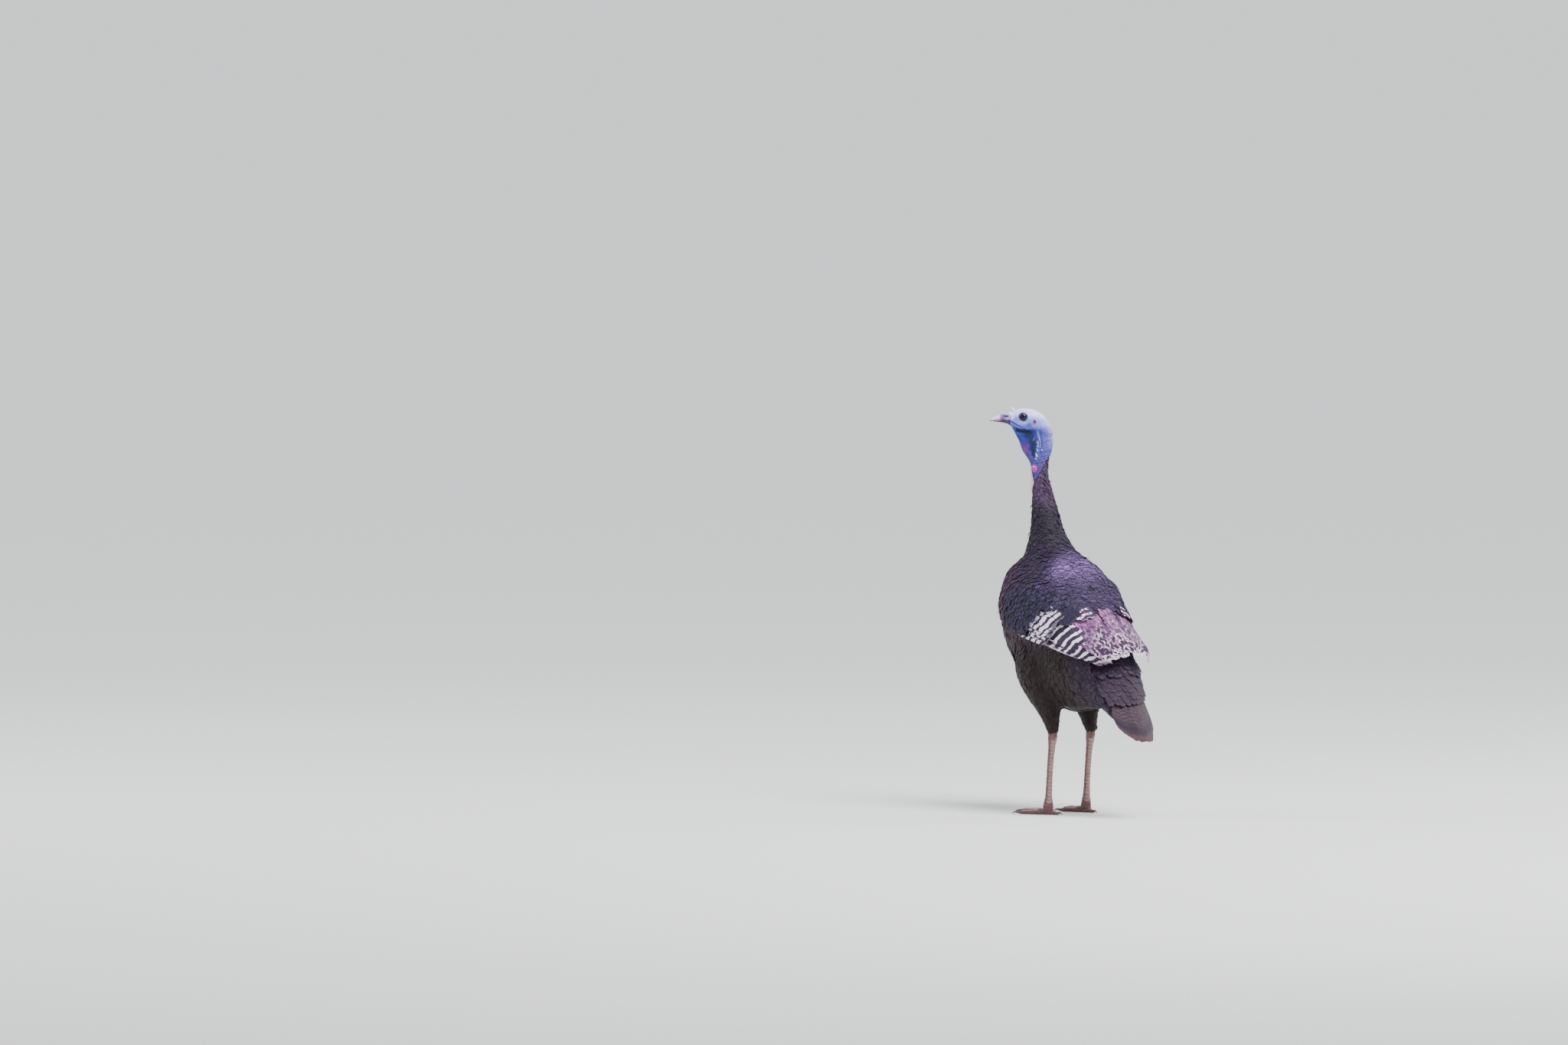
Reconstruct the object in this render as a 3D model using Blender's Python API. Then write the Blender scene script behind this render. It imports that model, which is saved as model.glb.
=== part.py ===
"""A wild turkey hen standing upright and alert, life size, her head turned to her left.

Metres, +Z up. The hen faces -Y and her left side is +X. Every piece is built about the point on
the floor between her feet. The finished pieces are then moved so that the origin is the middle of
the underside of the whole figure's box.
"""

import math

import bmesh
import bpy
from mathutils import Vector

# Driving dimensions.
FLOOR_GAP = 0.0003            # gap left between pieces that touch
SHOULDER_HEIGHT = 0.459       # where the neck leaves the trunk
NECK_JOIN_HEIGHT = 0.521      # lower neck meets middle neck
FEATHER_LINE_HEIGHT = 0.599   # neck feathers end and bare skin begins
NECK_TOP_FORWARD = 0.058      # the top of the neck, in front of the feet
HEAD_TURN = math.radians(52)  # the head's turn to the left of the body's line
HEAD_LENGTH = 0.060           # neck centre to the base of the bill
BILL_BASE = HEAD_LENGTH + FLOOR_GAP
HOCK_HEIGHT = 0.150
HOCK_BACK = 0.0225            # the hock joint, behind the feet's middle point
ANKLE_BACK = 0.010
STANCE = 0.044                # half the distance between the legs
EYE_RADIUS = 0.0090
EYE_SIDE = 0.0098             # eye centre from the head's middle plane
EYE_FORWARD = 0.0374
EYE_HEIGHT = 0.7138
TAIL_PITCH = math.radians(60)  # slope of the tail below level

TRUNK_SEGMENTS = 24
NECK_SEGMENTS = 16
HEAD_SEGMENTS = 18
BILL_SEGMENTS = 12

# Level slices of the body: height, reach in front of the feet, reach behind (negative), half width.
TRUNK_SLICES = (
    (0.459, 0.091, -0.037, 0.052),
    (0.450, 0.104, -0.051, 0.065),
    (0.437, 0.116, -0.066, 0.075),
    (0.415, 0.129, -0.086, 0.083),
    (0.378, 0.137, -0.108, 0.089),
    (0.335, 0.130, -0.133, 0.090),
    (0.301, 0.119, -0.150, 0.087),
    (0.270, 0.101, -0.160, 0.080),
    (0.244, 0.078, -0.156, 0.071),
    (0.221, 0.051, -0.140, 0.058),
    (0.202, 0.021, -0.112, 0.042),
    (0.190, -0.008, -0.084, 0.024),
    (0.186, -0.030, -0.062, 0.010),
)
# The same slices at the outside of the folded wings.
WING_SLICES = (
    (0.459, 0.092, -0.038, 0.053),
    (0.437, 0.119, -0.070, 0.080),
    (0.415, 0.132, -0.093, 0.091),
    (0.388, 0.139, -0.109, 0.096),
    (0.368, 0.138, -0.124, 0.099),
    (0.328, 0.128, -0.156, 0.102),
    (0.304, 0.116, -0.183, 0.100),
    (0.283, 0.102, -0.197, 0.094),
    (0.262, 0.090, -0.202, 0.086),
)
NECK_SLICES = (
    (0.459, 0.091, -0.037, 0.052),
    (0.474, 0.087, -0.010, 0.0420),
    (0.489, 0.083, 0.0050, 0.0365),
    (0.5137, 0.0785, 0.0195, 0.0290),
    (0.5455, 0.0790, 0.0310, 0.0240),
    (0.577, 0.0805, 0.0430, 0.0188),
    (0.599, 0.0800, 0.0490, 0.0150),
)
# The bare neck, measured along the turned head's own line: height, front, back, half width.
BARE_NECK_SLICES = (
    (0.599, 0.0195, -0.0080, 0.0132),
    (0.612, 0.0215, -0.0070, 0.0128),
    (0.623, 0.0236, -0.0072, 0.0128),
    (0.634, 0.0265, -0.0086, 0.0132),
    (0.645, 0.0350, -0.0112, 0.0138),
    (0.655, 0.0412, -0.0154, 0.0144),
    (0.665, 0.0445, -0.0168, 0.0150),
    (0.675, 0.0480, -0.0162, 0.0152),
    (0.685, 0.0545, -0.0145, 0.0150),
    (0.692, 0.0575, -0.0120, 0.0146),
)
# Upright slices of the head: distance forward of the neck's centre, top, bottom, half width.
HEAD_SLICES = (
    (-0.0156, 0.6870, 0.6790, 0.0045),
    (-0.0140, 0.6940, 0.6755, 0.0088),
    (-0.0105, 0.7015, 0.6738, 0.0120),
    (-0.0050, 0.7098, 0.6732, 0.0144),
    (0.0040, 0.7186, 0.6732, 0.0160),
    (0.0160, 0.7252, 0.6748, 0.0166),
    (0.0300, 0.7290, 0.6790, 0.0166),
    (0.0400, 0.7290, 0.6840, 0.0155),
    (0.0480, 0.7276, 0.6885, 0.0132),
    (0.0550, 0.7250, 0.6930, 0.0104),
    (HEAD_LENGTH, 0.7222, 0.6968, 0.0084),
)
UPPER_BILL_SLICES = (
    (BILL_BASE, 0.7216, 0.7060, 0.0080),
    (0.0670, 0.7194, 0.7066, 0.0069),
    (0.0750, 0.7180, 0.7072, 0.0057),
    (0.0830, 0.7166, 0.7076, 0.0047),
    (0.0890, 0.7146, 0.7074, 0.0037),
    (0.0940, 0.7116, 0.7064, 0.0025),
    (0.0975, 0.7070, 0.7050, 0.0008),
)
LOWER_BILL_SLICES = (
    (BILL_BASE, 0.7056, 0.6974, 0.0074),
    (0.0670, 0.7062, 0.7012, 0.0063),
    (0.0750, 0.7068, 0.7033, 0.0051),
    (0.0830, 0.7072, 0.7046, 0.0040),
    (0.0890, 0.7069, 0.7051, 0.0027),
    (0.0920, 0.7063, 0.7054, 0.0010),
)
# The folded wing's edges, as turns about the body (0 in front, 90 at the side, 180 behind):
# along the wing, upper height, upper turn, lower height, lower turn.
WING_EDGES = (
    (0.00, 0.402, 62, 0.364, 56),
    (0.06, 0.414, 66, 0.348, 60),
    (0.18, 0.424, 84, 0.334, 71),
    (0.34, 0.421, 118, 0.324, 92),
    (0.52, 0.404, 152, 0.310, 110),
    (0.68, 0.378, 170, 0.297, 123),
    (0.82, 0.344, 175, 0.284, 134),
    (0.92, 0.314, 176, 0.273, 141),
    (1.00, 0.290, 176, 0.264, 146),
)
WING_COVERT_END = 0.46        # share of the wing's length under the small coverts
PRIMARY_START = 0.70          # share of the wing's depth above the primaries
SECONDARY_COUNT = 9
PRIMARY_COUNT = 4
TOE_PLAN = (                  # name, length, turn outward in degrees, root radius
    ("toe_middle", 0.068, 0, 0.0064),
    ("toe_inner", 0.050, -40, 0.0058),
    ("toe_outer", 0.054, 36, 0.0058),
    ("toe_hind", 0.024, 180, 0.0046),
)

LOOKS = {                     # base colour, roughness, metallic
    "body_feather": ((0.060, 0.040, 0.045), 0.45, 0.2),
    "neck_feather": ((0.090, 0.062, 0.078), 0.55, 0.1),
    "wing_covert": ((0.085, 0.060, 0.085), 0.45, 0.2),
    "flight_feather": ((0.420, 0.370, 0.360), 0.60, 0.0),
    "tail_feather": ((0.110, 0.075, 0.065), 0.55, 0.0),
    "bare_skin": ((0.480, 0.530, 0.760), 0.50, 0.0),
    "snood_skin": ((0.620, 0.420, 0.520), 0.50, 0.0),
    "bill_horn": ((0.720, 0.600, 0.560), 0.35, 0.0),
    "eye": ((0.020, 0.014, 0.012), 0.08, 0.0),
    "leg_scale": ((0.520, 0.360, 0.340), 0.55, 0.0),
    "claw_horn": ((0.180, 0.140, 0.120), 0.35, 0.0),
}


def clear_scene():
    for obj in list(bpy.data.objects):
        bpy.data.objects.remove(obj)


def material(name):
    """The named finish, made once."""
    found = bpy.data.materials.get(name)
    if found:
        return found
    colour, roughness, metallic = LOOKS[name]
    made = bpy.data.materials.new(name)
    made.use_nodes = True
    shader = made.node_tree.nodes["Principled BSDF"]
    shader.inputs["Base Color"].default_value = (*colour, 1.0)
    shader.inputs["Roughness"].default_value = roughness
    shader.inputs["Metallic"].default_value = metallic
    return made


def read_rows(rows, at):
    """The columns of rows after the first, at this value of the first, on a smooth curve that never overshoots."""
    rows = sorted(rows)
    at = min(max(at, rows[0][0]), rows[-1][0])
    i = max(k for k in range(len(rows) - 1) if rows[k][0] <= at)
    width = rows[i + 1][0] - rows[i][0]
    t = (at - rows[i][0]) / width

    def slope(column, k):
        if k == 0 or k == len(rows) - 1:
            return 0.0 if k else rise(column, 0)
        before, after = rise(column, k - 1), rise(column, k)
        return 0.0 if before * after <= 0 else 2 * before * after / (before + after)

    def rise(column, k):
        return (rows[k + 1][column] - rows[k][column]) / (rows[k + 1][0] - rows[k][0])

    values = []
    for column in range(1, len(rows[0])):
        start, end = rows[i][column], rows[i + 1][column]
        into, out = slope(column, i) * width, slope(column, i + 1) * width
        values.append(
            start * (2 * t**3 - 3 * t**2 + 1)
            + into * (t**3 - 2 * t**2 + t)
            + end * (3 * t**2 - 2 * t**3)
            + out * (t**3 - t**2)
        )
    return values


def signed_power(value, power):
    return math.copysign(abs(value) ** power, value)


def oval(turn, reach, half_width, fullness):
    """A point of a rounded oval: how far forward of its middle, and how far to the left."""
    power = 2 / fullness
    forward = reach * signed_power(math.cos(turn), power)
    side = half_width * signed_power(math.sin(turn), power)
    return forward, side


def body_point(slices, height, turn, fullness=2.25, outward=0.0):
    """A point on the body's surface at this height and turn, moved outward."""
    front, back, half_width = read_rows(slices, height)
    reach = (front - back) / 2 + outward
    forward, side = oval(turn, reach, half_width + outward, fullness)
    return Vector((side, -((front + back) / 2 + forward), height))


def head_point(forward, side, height):
    """A point given along the turned head's own line."""
    ahead = Vector((math.sin(HEAD_TURN), -math.cos(HEAD_TURN), 0))
    left = Vector((math.cos(HEAD_TURN), math.sin(HEAD_TURN), 0))
    return Vector((0, -NECK_TOP_FORWARD, height)) + ahead * forward + left * side


def finish(name, bm, look, smooth_degrees=50):
    """Turns the bmesh into the named, shaded object."""
    bmesh.ops.recalc_face_normals(bm, faces=bm.faces)
    mesh = bpy.data.meshes.new(name)
    bm.to_mesh(mesh)
    bm.free()
    mesh.materials.append(material(look))
    mesh.shade_smooth()
    mesh.set_sharp_from_angle(angle=math.radians(smooth_degrees))
    obj = bpy.data.objects.new(name, mesh)
    bpy.context.scene.collection.objects.link(obj)
    return obj


def loft(name, rings, look):
    """A closed piece through rings of equal point counts, with a face across each end."""
    bm = bmesh.new()
    loops = [[bm.verts.new(point) for point in ring] for ring in rings]
    count = len(loops[0])
    for near, far in zip(loops, loops[1:]):
        for k in range(count):
            after = (k + 1) % count
            bm.faces.new((near[k], near[after], far[after], far[k]))
    bm.faces.new(reversed(loops[0]))
    bm.faces.new(loops[-1])
    return finish(name, bm, look)


def slab(name, outer, inner, look):
    """A closed plate between an outer and an inner grid of points."""
    bm = bmesh.new()
    rows, columns = len(outer), len(outer[0])
    top = [[bm.verts.new(point) for point in row] for row in outer]
    under = [[bm.verts.new(point) for point in row] for row in inner]
    for i in range(rows - 1):
        for j in range(columns - 1):
            bm.faces.new((top[i][j], top[i + 1][j], top[i + 1][j + 1], top[i][j + 1]))
            bm.faces.new((under[i][j], under[i][j + 1], under[i + 1][j + 1], under[i + 1][j]))
    for i in range(rows - 1):
        for j in (0, columns - 1):
            bm.faces.new((top[i][j], top[i + 1][j], under[i + 1][j], under[i][j]))
    for j in range(columns - 1):
        for i in (0, rows - 1):
            bm.faces.new((top[i][j], top[i][j + 1], under[i][j + 1], under[i][j]))
    return finish(name, bm, look, smooth_degrees=35)


def grown_copy(obj, gap):
    """A hidden copy of obj, larger all round by gap, to cut with."""
    cutter = obj.copy()
    cutter.data = obj.data.copy()
    cutter.name = obj.name + "_cutter"
    cutter.hide_render = True
    cutter.display_type = "WIRE"
    bpy.context.scene.collection.objects.link(cutter)
    grow = cutter.modifiers.new("grow", "DISPLACE")
    grow.direction = "NORMAL"
    grow.mid_level = 0.0
    grow.strength = gap
    return cutter


def cut(target, *others, gap=FLOOR_GAP):
    """Cuts each of the others out of target, leaving a thin gap."""
    for other in others:
        shear = target.modifiers.new("cut_" + other.name, "BOOLEAN")
        shear.operation = "DIFFERENCE"
        shear.solver = "EXACT"
        shear.object = grown_copy(other, gap)


def spaced(start, end, count):
    """count values from start to end, both ends included."""
    return [start + (end - start) * k / (count - 1) for k in range(count)]


def turns(count):
    return [2 * math.pi * k / count for k in range(count)]


def make_trunk():
    """Breast, back, belly and rump in one, cut flat where the neck leaves it."""
    low, high = TRUNK_SLICES[-1][0], TRUNK_SLICES[0][0] - FLOOR_GAP / 2
    rings = []
    for share in spaced(0, 1, 16):
        height = low + (high - low) * share**1.15
        rings.append([body_point(TRUNK_SLICES, height, a) for a in turns(TRUNK_SEGMENTS)])
    return loft("trunk", rings, "body_feather")


def make_neck_length(name, low, high, look):
    """One length of the feathered neck, cut flat at both ends."""
    rings = []
    for height in spaced(low + FLOOR_GAP / 2, high - FLOOR_GAP / 2, 5):
        ring = [body_point(NECK_SLICES, height, a, fullness=2.0) for a in turns(NECK_SEGMENTS)]
        rings.append(ring)
    return loft(name, rings, look)


def make_bare_neck():
    """The bare upper neck, with the throat's thin fold of skin in front."""
    fold = 0.62               # how much the fold is thinner than the neck behind it
    rings = []
    low = FEATHER_LINE_HEIGHT + FLOOR_GAP / 2
    for height in spaced(low, BARE_NECK_SLICES[-1][0], 10):
        front, back, half_width = read_rows(BARE_NECK_SLICES, height)
        reach = (front - back) / 2
        neck_share = min(1.0, 2 * half_width / (2 * reach))
        ring = []
        for turn in turns(NECK_SEGMENTS):
            forward, side = oval(turn, reach, half_width, 2.0)
            ahead = max(0.0, math.cos(turn) + neck_share * 0.5 - 0.35)
            side *= 1 - fold * (1 - neck_share**2) * min(1.0, ahead * 1.1)
            ring.append(head_point((front + back) / 2 + forward, side, height))
        rings.append(ring)
    return loft("neck_bare", rings, "bare_skin")


def upright_rings(slices, count, segments, fullness, crown=0.0):
    """Upright ovals across the head's line; crown narrows their upper half."""
    rings = []
    for forward in spaced(slices[0][0], slices[-1][0], count):
        top, bottom, half_width = read_rows(slices, forward)
        ring = []
        for turn in turns(segments):
            rise, side = oval(turn, (top - bottom) / 2, half_width, fullness)
            side *= 1 - crown * max(0.0, math.cos(turn)) ** 2
            ring.append(head_point(forward, side, (top + bottom) / 2 + rise))
        rings.append(ring)
    return rings


def make_head():
    return loft("head", upright_rings(HEAD_SLICES, 12, HEAD_SEGMENTS, 2.2, crown=0.12), "bare_skin")


def make_bill():
    upper = loft("bill_upper", upright_rings(UPPER_BILL_SLICES, 7, BILL_SEGMENTS, 2.0, crown=0.2), "bill_horn")
    lower = loft("bill_lower", upright_rings(LOWER_BILL_SLICES, 6, BILL_SEGMENTS, 2.0), "bill_horn")
    return upper, lower


def make_eye(name, side):
    """A whole eyeball in its socket."""
    bm = bmesh.new()
    bmesh.ops.create_uvsphere(bm, u_segments=12, v_segments=7, radius=EYE_RADIUS)
    bmesh.ops.translate(bm, verts=bm.verts, vec=head_point(EYE_FORWARD, side * EYE_SIDE, EYE_HEIGHT))
    return finish(name, bm, "eye")


def make_snood():
    """The hen's small fleshy peak over the bill."""
    base, tip = head_point(0.0535, 0, 0.7225), head_point(0.0590, 0, 0.7318)
    radii = (0.0026, 0.0027, 0.0021, 0.0010)
    path = [base.lerp(tip, share) for share in spaced(0, 1, len(radii))]
    return loft("snood", tube_rings(path, radii, 8), "snood_skin")


def tube_rings(path, radii, segments):
    """Rings round a path."""
    rings = []
    for i, centre in enumerate(path):
        ahead = (path[min(i + 1, len(path) - 1)] - path[max(i - 1, 0)]).normalized()
        reference = Vector((0, 0, 1)) if abs(ahead.z) < 0.8 else Vector((0, 1, 0))
        across = ahead.cross(reference).normalized()
        up = across.cross(ahead).normalized()
        ring = []
        for turn in turns(segments):
            ring.append(
                centre
                + across * radii[i] * math.cos(turn)
                + up * radii[i] * math.sin(turn)
            )
        rings.append(ring)
    return rings


def wing_point(along, across, outward, side):
    """A point of the folded wing: along its length, and across it from the back's edge down."""
    high, high_turn, low, low_turn = read_rows(WING_EDGES, along)
    height = high + (low - high) * across
    turn = math.radians(high_turn + (low_turn - high_turn) * across)
    point = body_point(WING_SLICES, height, turn, outward=outward)
    point.x *= side
    return point


def vane_step(share, count, rise):
    """Height of one vane over the next, for count vanes lying like shingles."""
    place = share * count % 1.0
    return rise * (1 - place) if place < 0.85 else rise * (place - 0.85) / 0.15


def wing_patch(name, side, along, across, columns, look, lift, steps=0, notch=0.0):
    """One part of the wing as a plate with its inner face deep enough to meet the trunk."""
    rows = 7
    outer, inner = [], []
    for share in spaced(0, 1, rows):
        top_row, under_row = [], []
        for place in spaced(0, 1, columns):
            v = across[0] + (across[1] - across[0]) * place
            tip = abs(math.sin(math.pi * place * max(steps, 1)))
            end = along[1] - notch * (1 - tip)
            u = along[0] + (end - along[0]) * share
            step = vane_step(place, steps, 0.0016) * share if steps else 0.0
            depth = 0.020 if u < 0.5 else 0.020 - 0.013 * min(1.0, (u - 0.5) / 0.25)
            top_row.append(wing_point(u, v, lift + step, side))
            under_row.append(wing_point(u, v, lift - depth, side))
        outer.append(top_row)
        inner.append(under_row)
    return slab(name, outer, inner, look)


def make_wing(label, side, trunk):
    """A folded wing: small coverts in front, secondaries over the back, primaries below."""
    slit = 0.0025             # share of the wing left open between two parts
    coverts = wing_patch(
        f"wing_{label}_coverts", side, (0.0, WING_COVERT_END - slit), (0.0, 1.0), 9,
        "wing_covert", 0.0030,
    )
    secondaries = wing_patch(
        f"wing_{label}_secondaries", side, (WING_COVERT_END, 1.0), (0.0, PRIMARY_START - slit),
        SECONDARY_COUNT * 2 + 1, "flight_feather", 0.0, SECONDARY_COUNT, 0.022,
    )
    primaries = wing_patch(
        f"wing_{label}_primaries", side, (WING_COVERT_END, 0.985), (PRIMARY_START + slit, 1.0),
        PRIMARY_COUNT * 2 + 1, "flight_feather", -0.0012, PRIMARY_COUNT, 0.020,
    )
    for part in (coverts, secondaries, primaries):
        cut(part, trunk)
    return coverts, secondaries, primaries


def tail_point(along, across, drop):
    """A point of the tail: metres along its middle, metres to the side, and metres below the top."""
    root = Vector((0, 0.146, 0.300))
    down = Vector((0, math.cos(TAIL_PITCH), -math.sin(TAIL_PITCH)))
    under = Vector((0, -math.sin(TAIL_PITCH), -math.cos(TAIL_PITCH)))
    return root + down * along + under * drop + Vector((across, 0, 0))


def tail_plate(name, start, length, widths, roof, thick, columns, steps, look, lift):
    """A roof-shaped plate of long feathers with a rounded, notched end."""
    outer, inner = [], []
    for share in spaced(0, 1, 7):
        top_row, under_row = [], []
        for place in spaced(-1, 1, columns):
            reach = 1 - 0.30 * abs(place) ** 2.4
            notch = 0.020 * (1 - abs(math.sin(math.pi * steps * (place + 1) / 2)))
            along = start + (length * (reach - notch)) * share
            (half_width,) = read_rows(widths, share)
            step = vane_step(abs(place), steps / 2, 0.0012) * share
            drop = roof * abs(place) ** 1.6 - lift - step
            body = thick[0] + (thick[1] - thick[0]) * share
            side = half_width * place
            top_row.append(tail_point(along, side, drop))
            under_row.append(tail_point(along, side, drop + body * (1 - 0.6 * abs(place)) + step))
        outer.append(top_row)
        inner.append(under_row)
    return slab(name, outer, inner, look)


def make_tail(trunk, wing_parts):
    """The closed tail, the coverts over its root and the soft coverts beneath it."""
    quills = tail_plate(
        "tail_feathers", 0.015, 0.168, ((0, 0.030), (0.5, 0.044), (1, 0.047)),
        0.016, (0.010, 0.0022), 17, 8, "tail_feather", 0.0,
    )
    upper = tail_plate(
        "tail_coverts_upper", 0.000, 0.112, ((0, 0.046), (0.45, 0.060), (1, 0.050)),
        0.024, (0.016, 0.0020), 13, 6, "body_feather", 0.0085,
    )
    under = loft("tail_coverts_under", under_covert_rings(), "body_feather")
    cut(upper, trunk, *wing_parts, quills)
    cut(quills, trunk, *wing_parts)
    cut(under, trunk, quills, upper)
    return quills, upper, under


def under_covert_rings():
    """Ovals down the underside of the tail, from the vent to a blunt end."""
    rings = []
    rows = ((0.030, 0.040, 0.030), (0.070, 0.042, 0.027), (0.100, 0.038, 0.020),
            (0.124, 0.028, 0.012), (0.138, 0.014, 0.005))
    for along in spaced(rows[0][0], rows[-1][0], 7):
        half_width, depth = read_rows(rows, along)
        middle = 0.014 + depth
        ring = []
        for turn in turns(16):
            rise, side = oval(turn, depth, half_width, 2.0)
            ring.append(tail_point(along, side, middle - rise))
        rings.append(ring)
    return rings


def make_thigh(label, side, trunk, tail_parts):
    """The feathered drumstick, from the flank down to the hock."""
    low = HOCK_HEIGHT + 0.001
    rows = (                  # height, radius, forward, out from the middle
        (low, 0.0108, -HOCK_BACK, STANCE),
        (low + 0.009, 0.0124, -0.0195, STANCE),
        (0.173, 0.0155, -0.0160, STANCE),
        (0.187, 0.0205, -0.011, 0.045),
        (0.205, 0.0270, -0.003, 0.046),
        (0.228, 0.0350, 0.004, 0.048),
        (0.258, 0.0410, 0.009, 0.051),
        (0.288, 0.0400, 0.010, 0.053),
        (0.316, 0.0260, 0.004, 0.056),
    )
    rings = []
    for height in spaced(rows[0][0], rows[-1][0], 10):
        radius, forward, aside = read_rows(rows, height)
        centre = side * aside
        ring = []
        for turn in turns(16):
            ahead, across = oval(turn, radius * 1.15, radius * 0.98, 2.0)
            ring.append(Vector((centre + across, -(forward + ahead), height)))
        rings.append(ring)
    thigh = loft(f"thigh_{label}", rings, "body_feather")
    cut(thigh, trunk, *tail_parts)
    return thigh


def make_shank(label, side):
    """The scaled lower leg, with the hock above and the sole's flat pad below."""
    hock = HOCK_HEIGHT
    rows = (                  # height, radius, forward
        (0.0000, 0.0088, -ANKLE_BACK),
        (0.0030, 0.0112, -ANKLE_BACK),
        (0.0090, 0.0116, -ANKLE_BACK),
        (0.0160, 0.0096, -ANKLE_BACK + 0.001),
        (0.0260, 0.0068, -ANKLE_BACK),
        (0.0700, 0.0056, -0.0130),
        (hock - 0.035, 0.0060, -HOCK_BACK + 0.0045),
        (hock - 0.012, 0.0086, -HOCK_BACK + 0.0010),
        (hock - 0.002, 0.0094, -HOCK_BACK),
        (hock + 0.006, 0.0078, -HOCK_BACK + 0.0010),
    )
    rings = []
    for height in spaced(rows[0][0], rows[-1][0], 11):
        radius, forward = read_rows(rows, height)
        ring = []
        for turn in turns(10):
            ahead, across = oval(turn, radius * 1.08, radius * 0.92, 2.0)
            ring.append(Vector((side * STANCE + across, -(forward + ahead), height)))
        rings.append(ring)
    return loft(f"shank_{label}", rings, "leg_scale")


def toe_direction(turn, side):
    """Level direction of a toe; the whole foot points a little outward."""
    angle = math.radians(turn + 8) * side if turn != 180 else math.radians(180 + 6 * side)
    return Vector((math.sin(angle), -math.cos(angle), 0))


def make_toe(label, side, plan, neighbours):
    """One toe with its joint pads, flat on the floor, and its claw."""
    name, length, turn, root = plan
    start = Vector((side * STANCE, ANKLE_BACK, 0)) + toe_direction(turn, side) * 0.0035
    count = 8
    path, radii = [], []
    joints = 2 if length < 0.03 else 3
    for share in spaced(0, 1, count):
        radius = root * (1 - 0.32 * share) * (1 + 0.09 * math.cos(2 * math.pi * joints * share))
        point = start + toe_direction(turn, side) * (length * share)
        point.z = radius * 0.80
        path.append(point)
        radii.append(radius * (1.0 if share < 1 else 0.55))
    rings = tube_rings(path, radii, 8)
    for ring in rings:
        for point in ring:
            point.z = max(point.z, 0.0)
    toe = loft(f"{name}_{label}", rings, "leg_scale")
    cut(toe, *neighbours)
    make_claw(f"{name}_claw_{label}", path[-1], toe_direction(turn, side), root, toe)
    return toe


def make_claw(name, root_point, ahead, toe_root, toe):
    """A blunt horn claw that curves down to the floor."""
    length = 1.9 * toe_root
    reach = 4
    path, radii = [], []
    for share in spaced(0, 1, reach):
        point = root_point + ahead * (length * share - 0.0015)
        point.z = 0.0042 + 0.0010 * math.sin(math.pi * share) - 0.0034 * share**2
        path.append(point)
        radii.append(0.0026 * (1 - 0.78 * share))
    rings = tube_rings(path, radii, 6)
    for ring in rings:
        for point in ring:
            point.z = max(point.z, 0.0)
    cut(loft(name, rings, "claw_horn"), toe)


def rest_on_origin():
    """Carries every piece on one empty, with the origin under the middle of the figure's box."""
    bpy.context.view_layer.update()
    graph = bpy.context.evaluated_depsgraph_get()
    corners = []
    for obj in bpy.data.objects:
        if obj.type == "MESH" and not obj.hide_render:
            shown = obj.evaluated_get(graph)
            corners += [shown.matrix_world @ Vector(corner) for corner in shown.bound_box]
    carrier = bpy.data.objects.new("figure", None)
    bpy.context.scene.collection.objects.link(carrier)
    for obj in bpy.data.objects:
        if obj.type == "MESH":
            obj.parent = carrier
    for axis in (0, 1):
        values = [corner[axis] for corner in corners]
        carrier.location[axis] = -(min(values) + max(values)) / 2


def build():
    clear_scene()
    trunk = make_trunk()
    make_neck_length("neck_lower", SHOULDER_HEIGHT, NECK_JOIN_HEIGHT, "neck_feather")
    make_neck_length("neck_middle", NECK_JOIN_HEIGHT, FEATHER_LINE_HEIGHT, "neck_feather")
    bare_neck = make_bare_neck()
    head = make_head()
    upper_bill, lower_bill = make_bill()
    eyes = [make_eye("eye_left", 1), make_eye("eye_right", -1)]
    snood = make_snood()
    cut(bare_neck, head, lower_bill)
    cut(snood, head, upper_bill)
    cut(head, *eyes)
    wing_parts = make_wing("left", 1, trunk) + make_wing("right", -1, trunk)
    tail_parts = make_tail(trunk, wing_parts)
    for label, side in (("left", 1), ("right", -1)):
        thigh = make_thigh(label, side, trunk, tail_parts)
        shank = make_shank(label, side)
        cut(thigh, shank)
        foot = [shank]
        for plan in TOE_PLAN:
            foot.append(make_toe(label, side, plan, foot))
    rest_on_origin()


build()
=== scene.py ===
import math
from functools import partial

import bpy
import numpy as np
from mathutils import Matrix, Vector, noise
from mathutils.bvhtree import BVHTree
from mathutils.kdtree import KDTree


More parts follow.
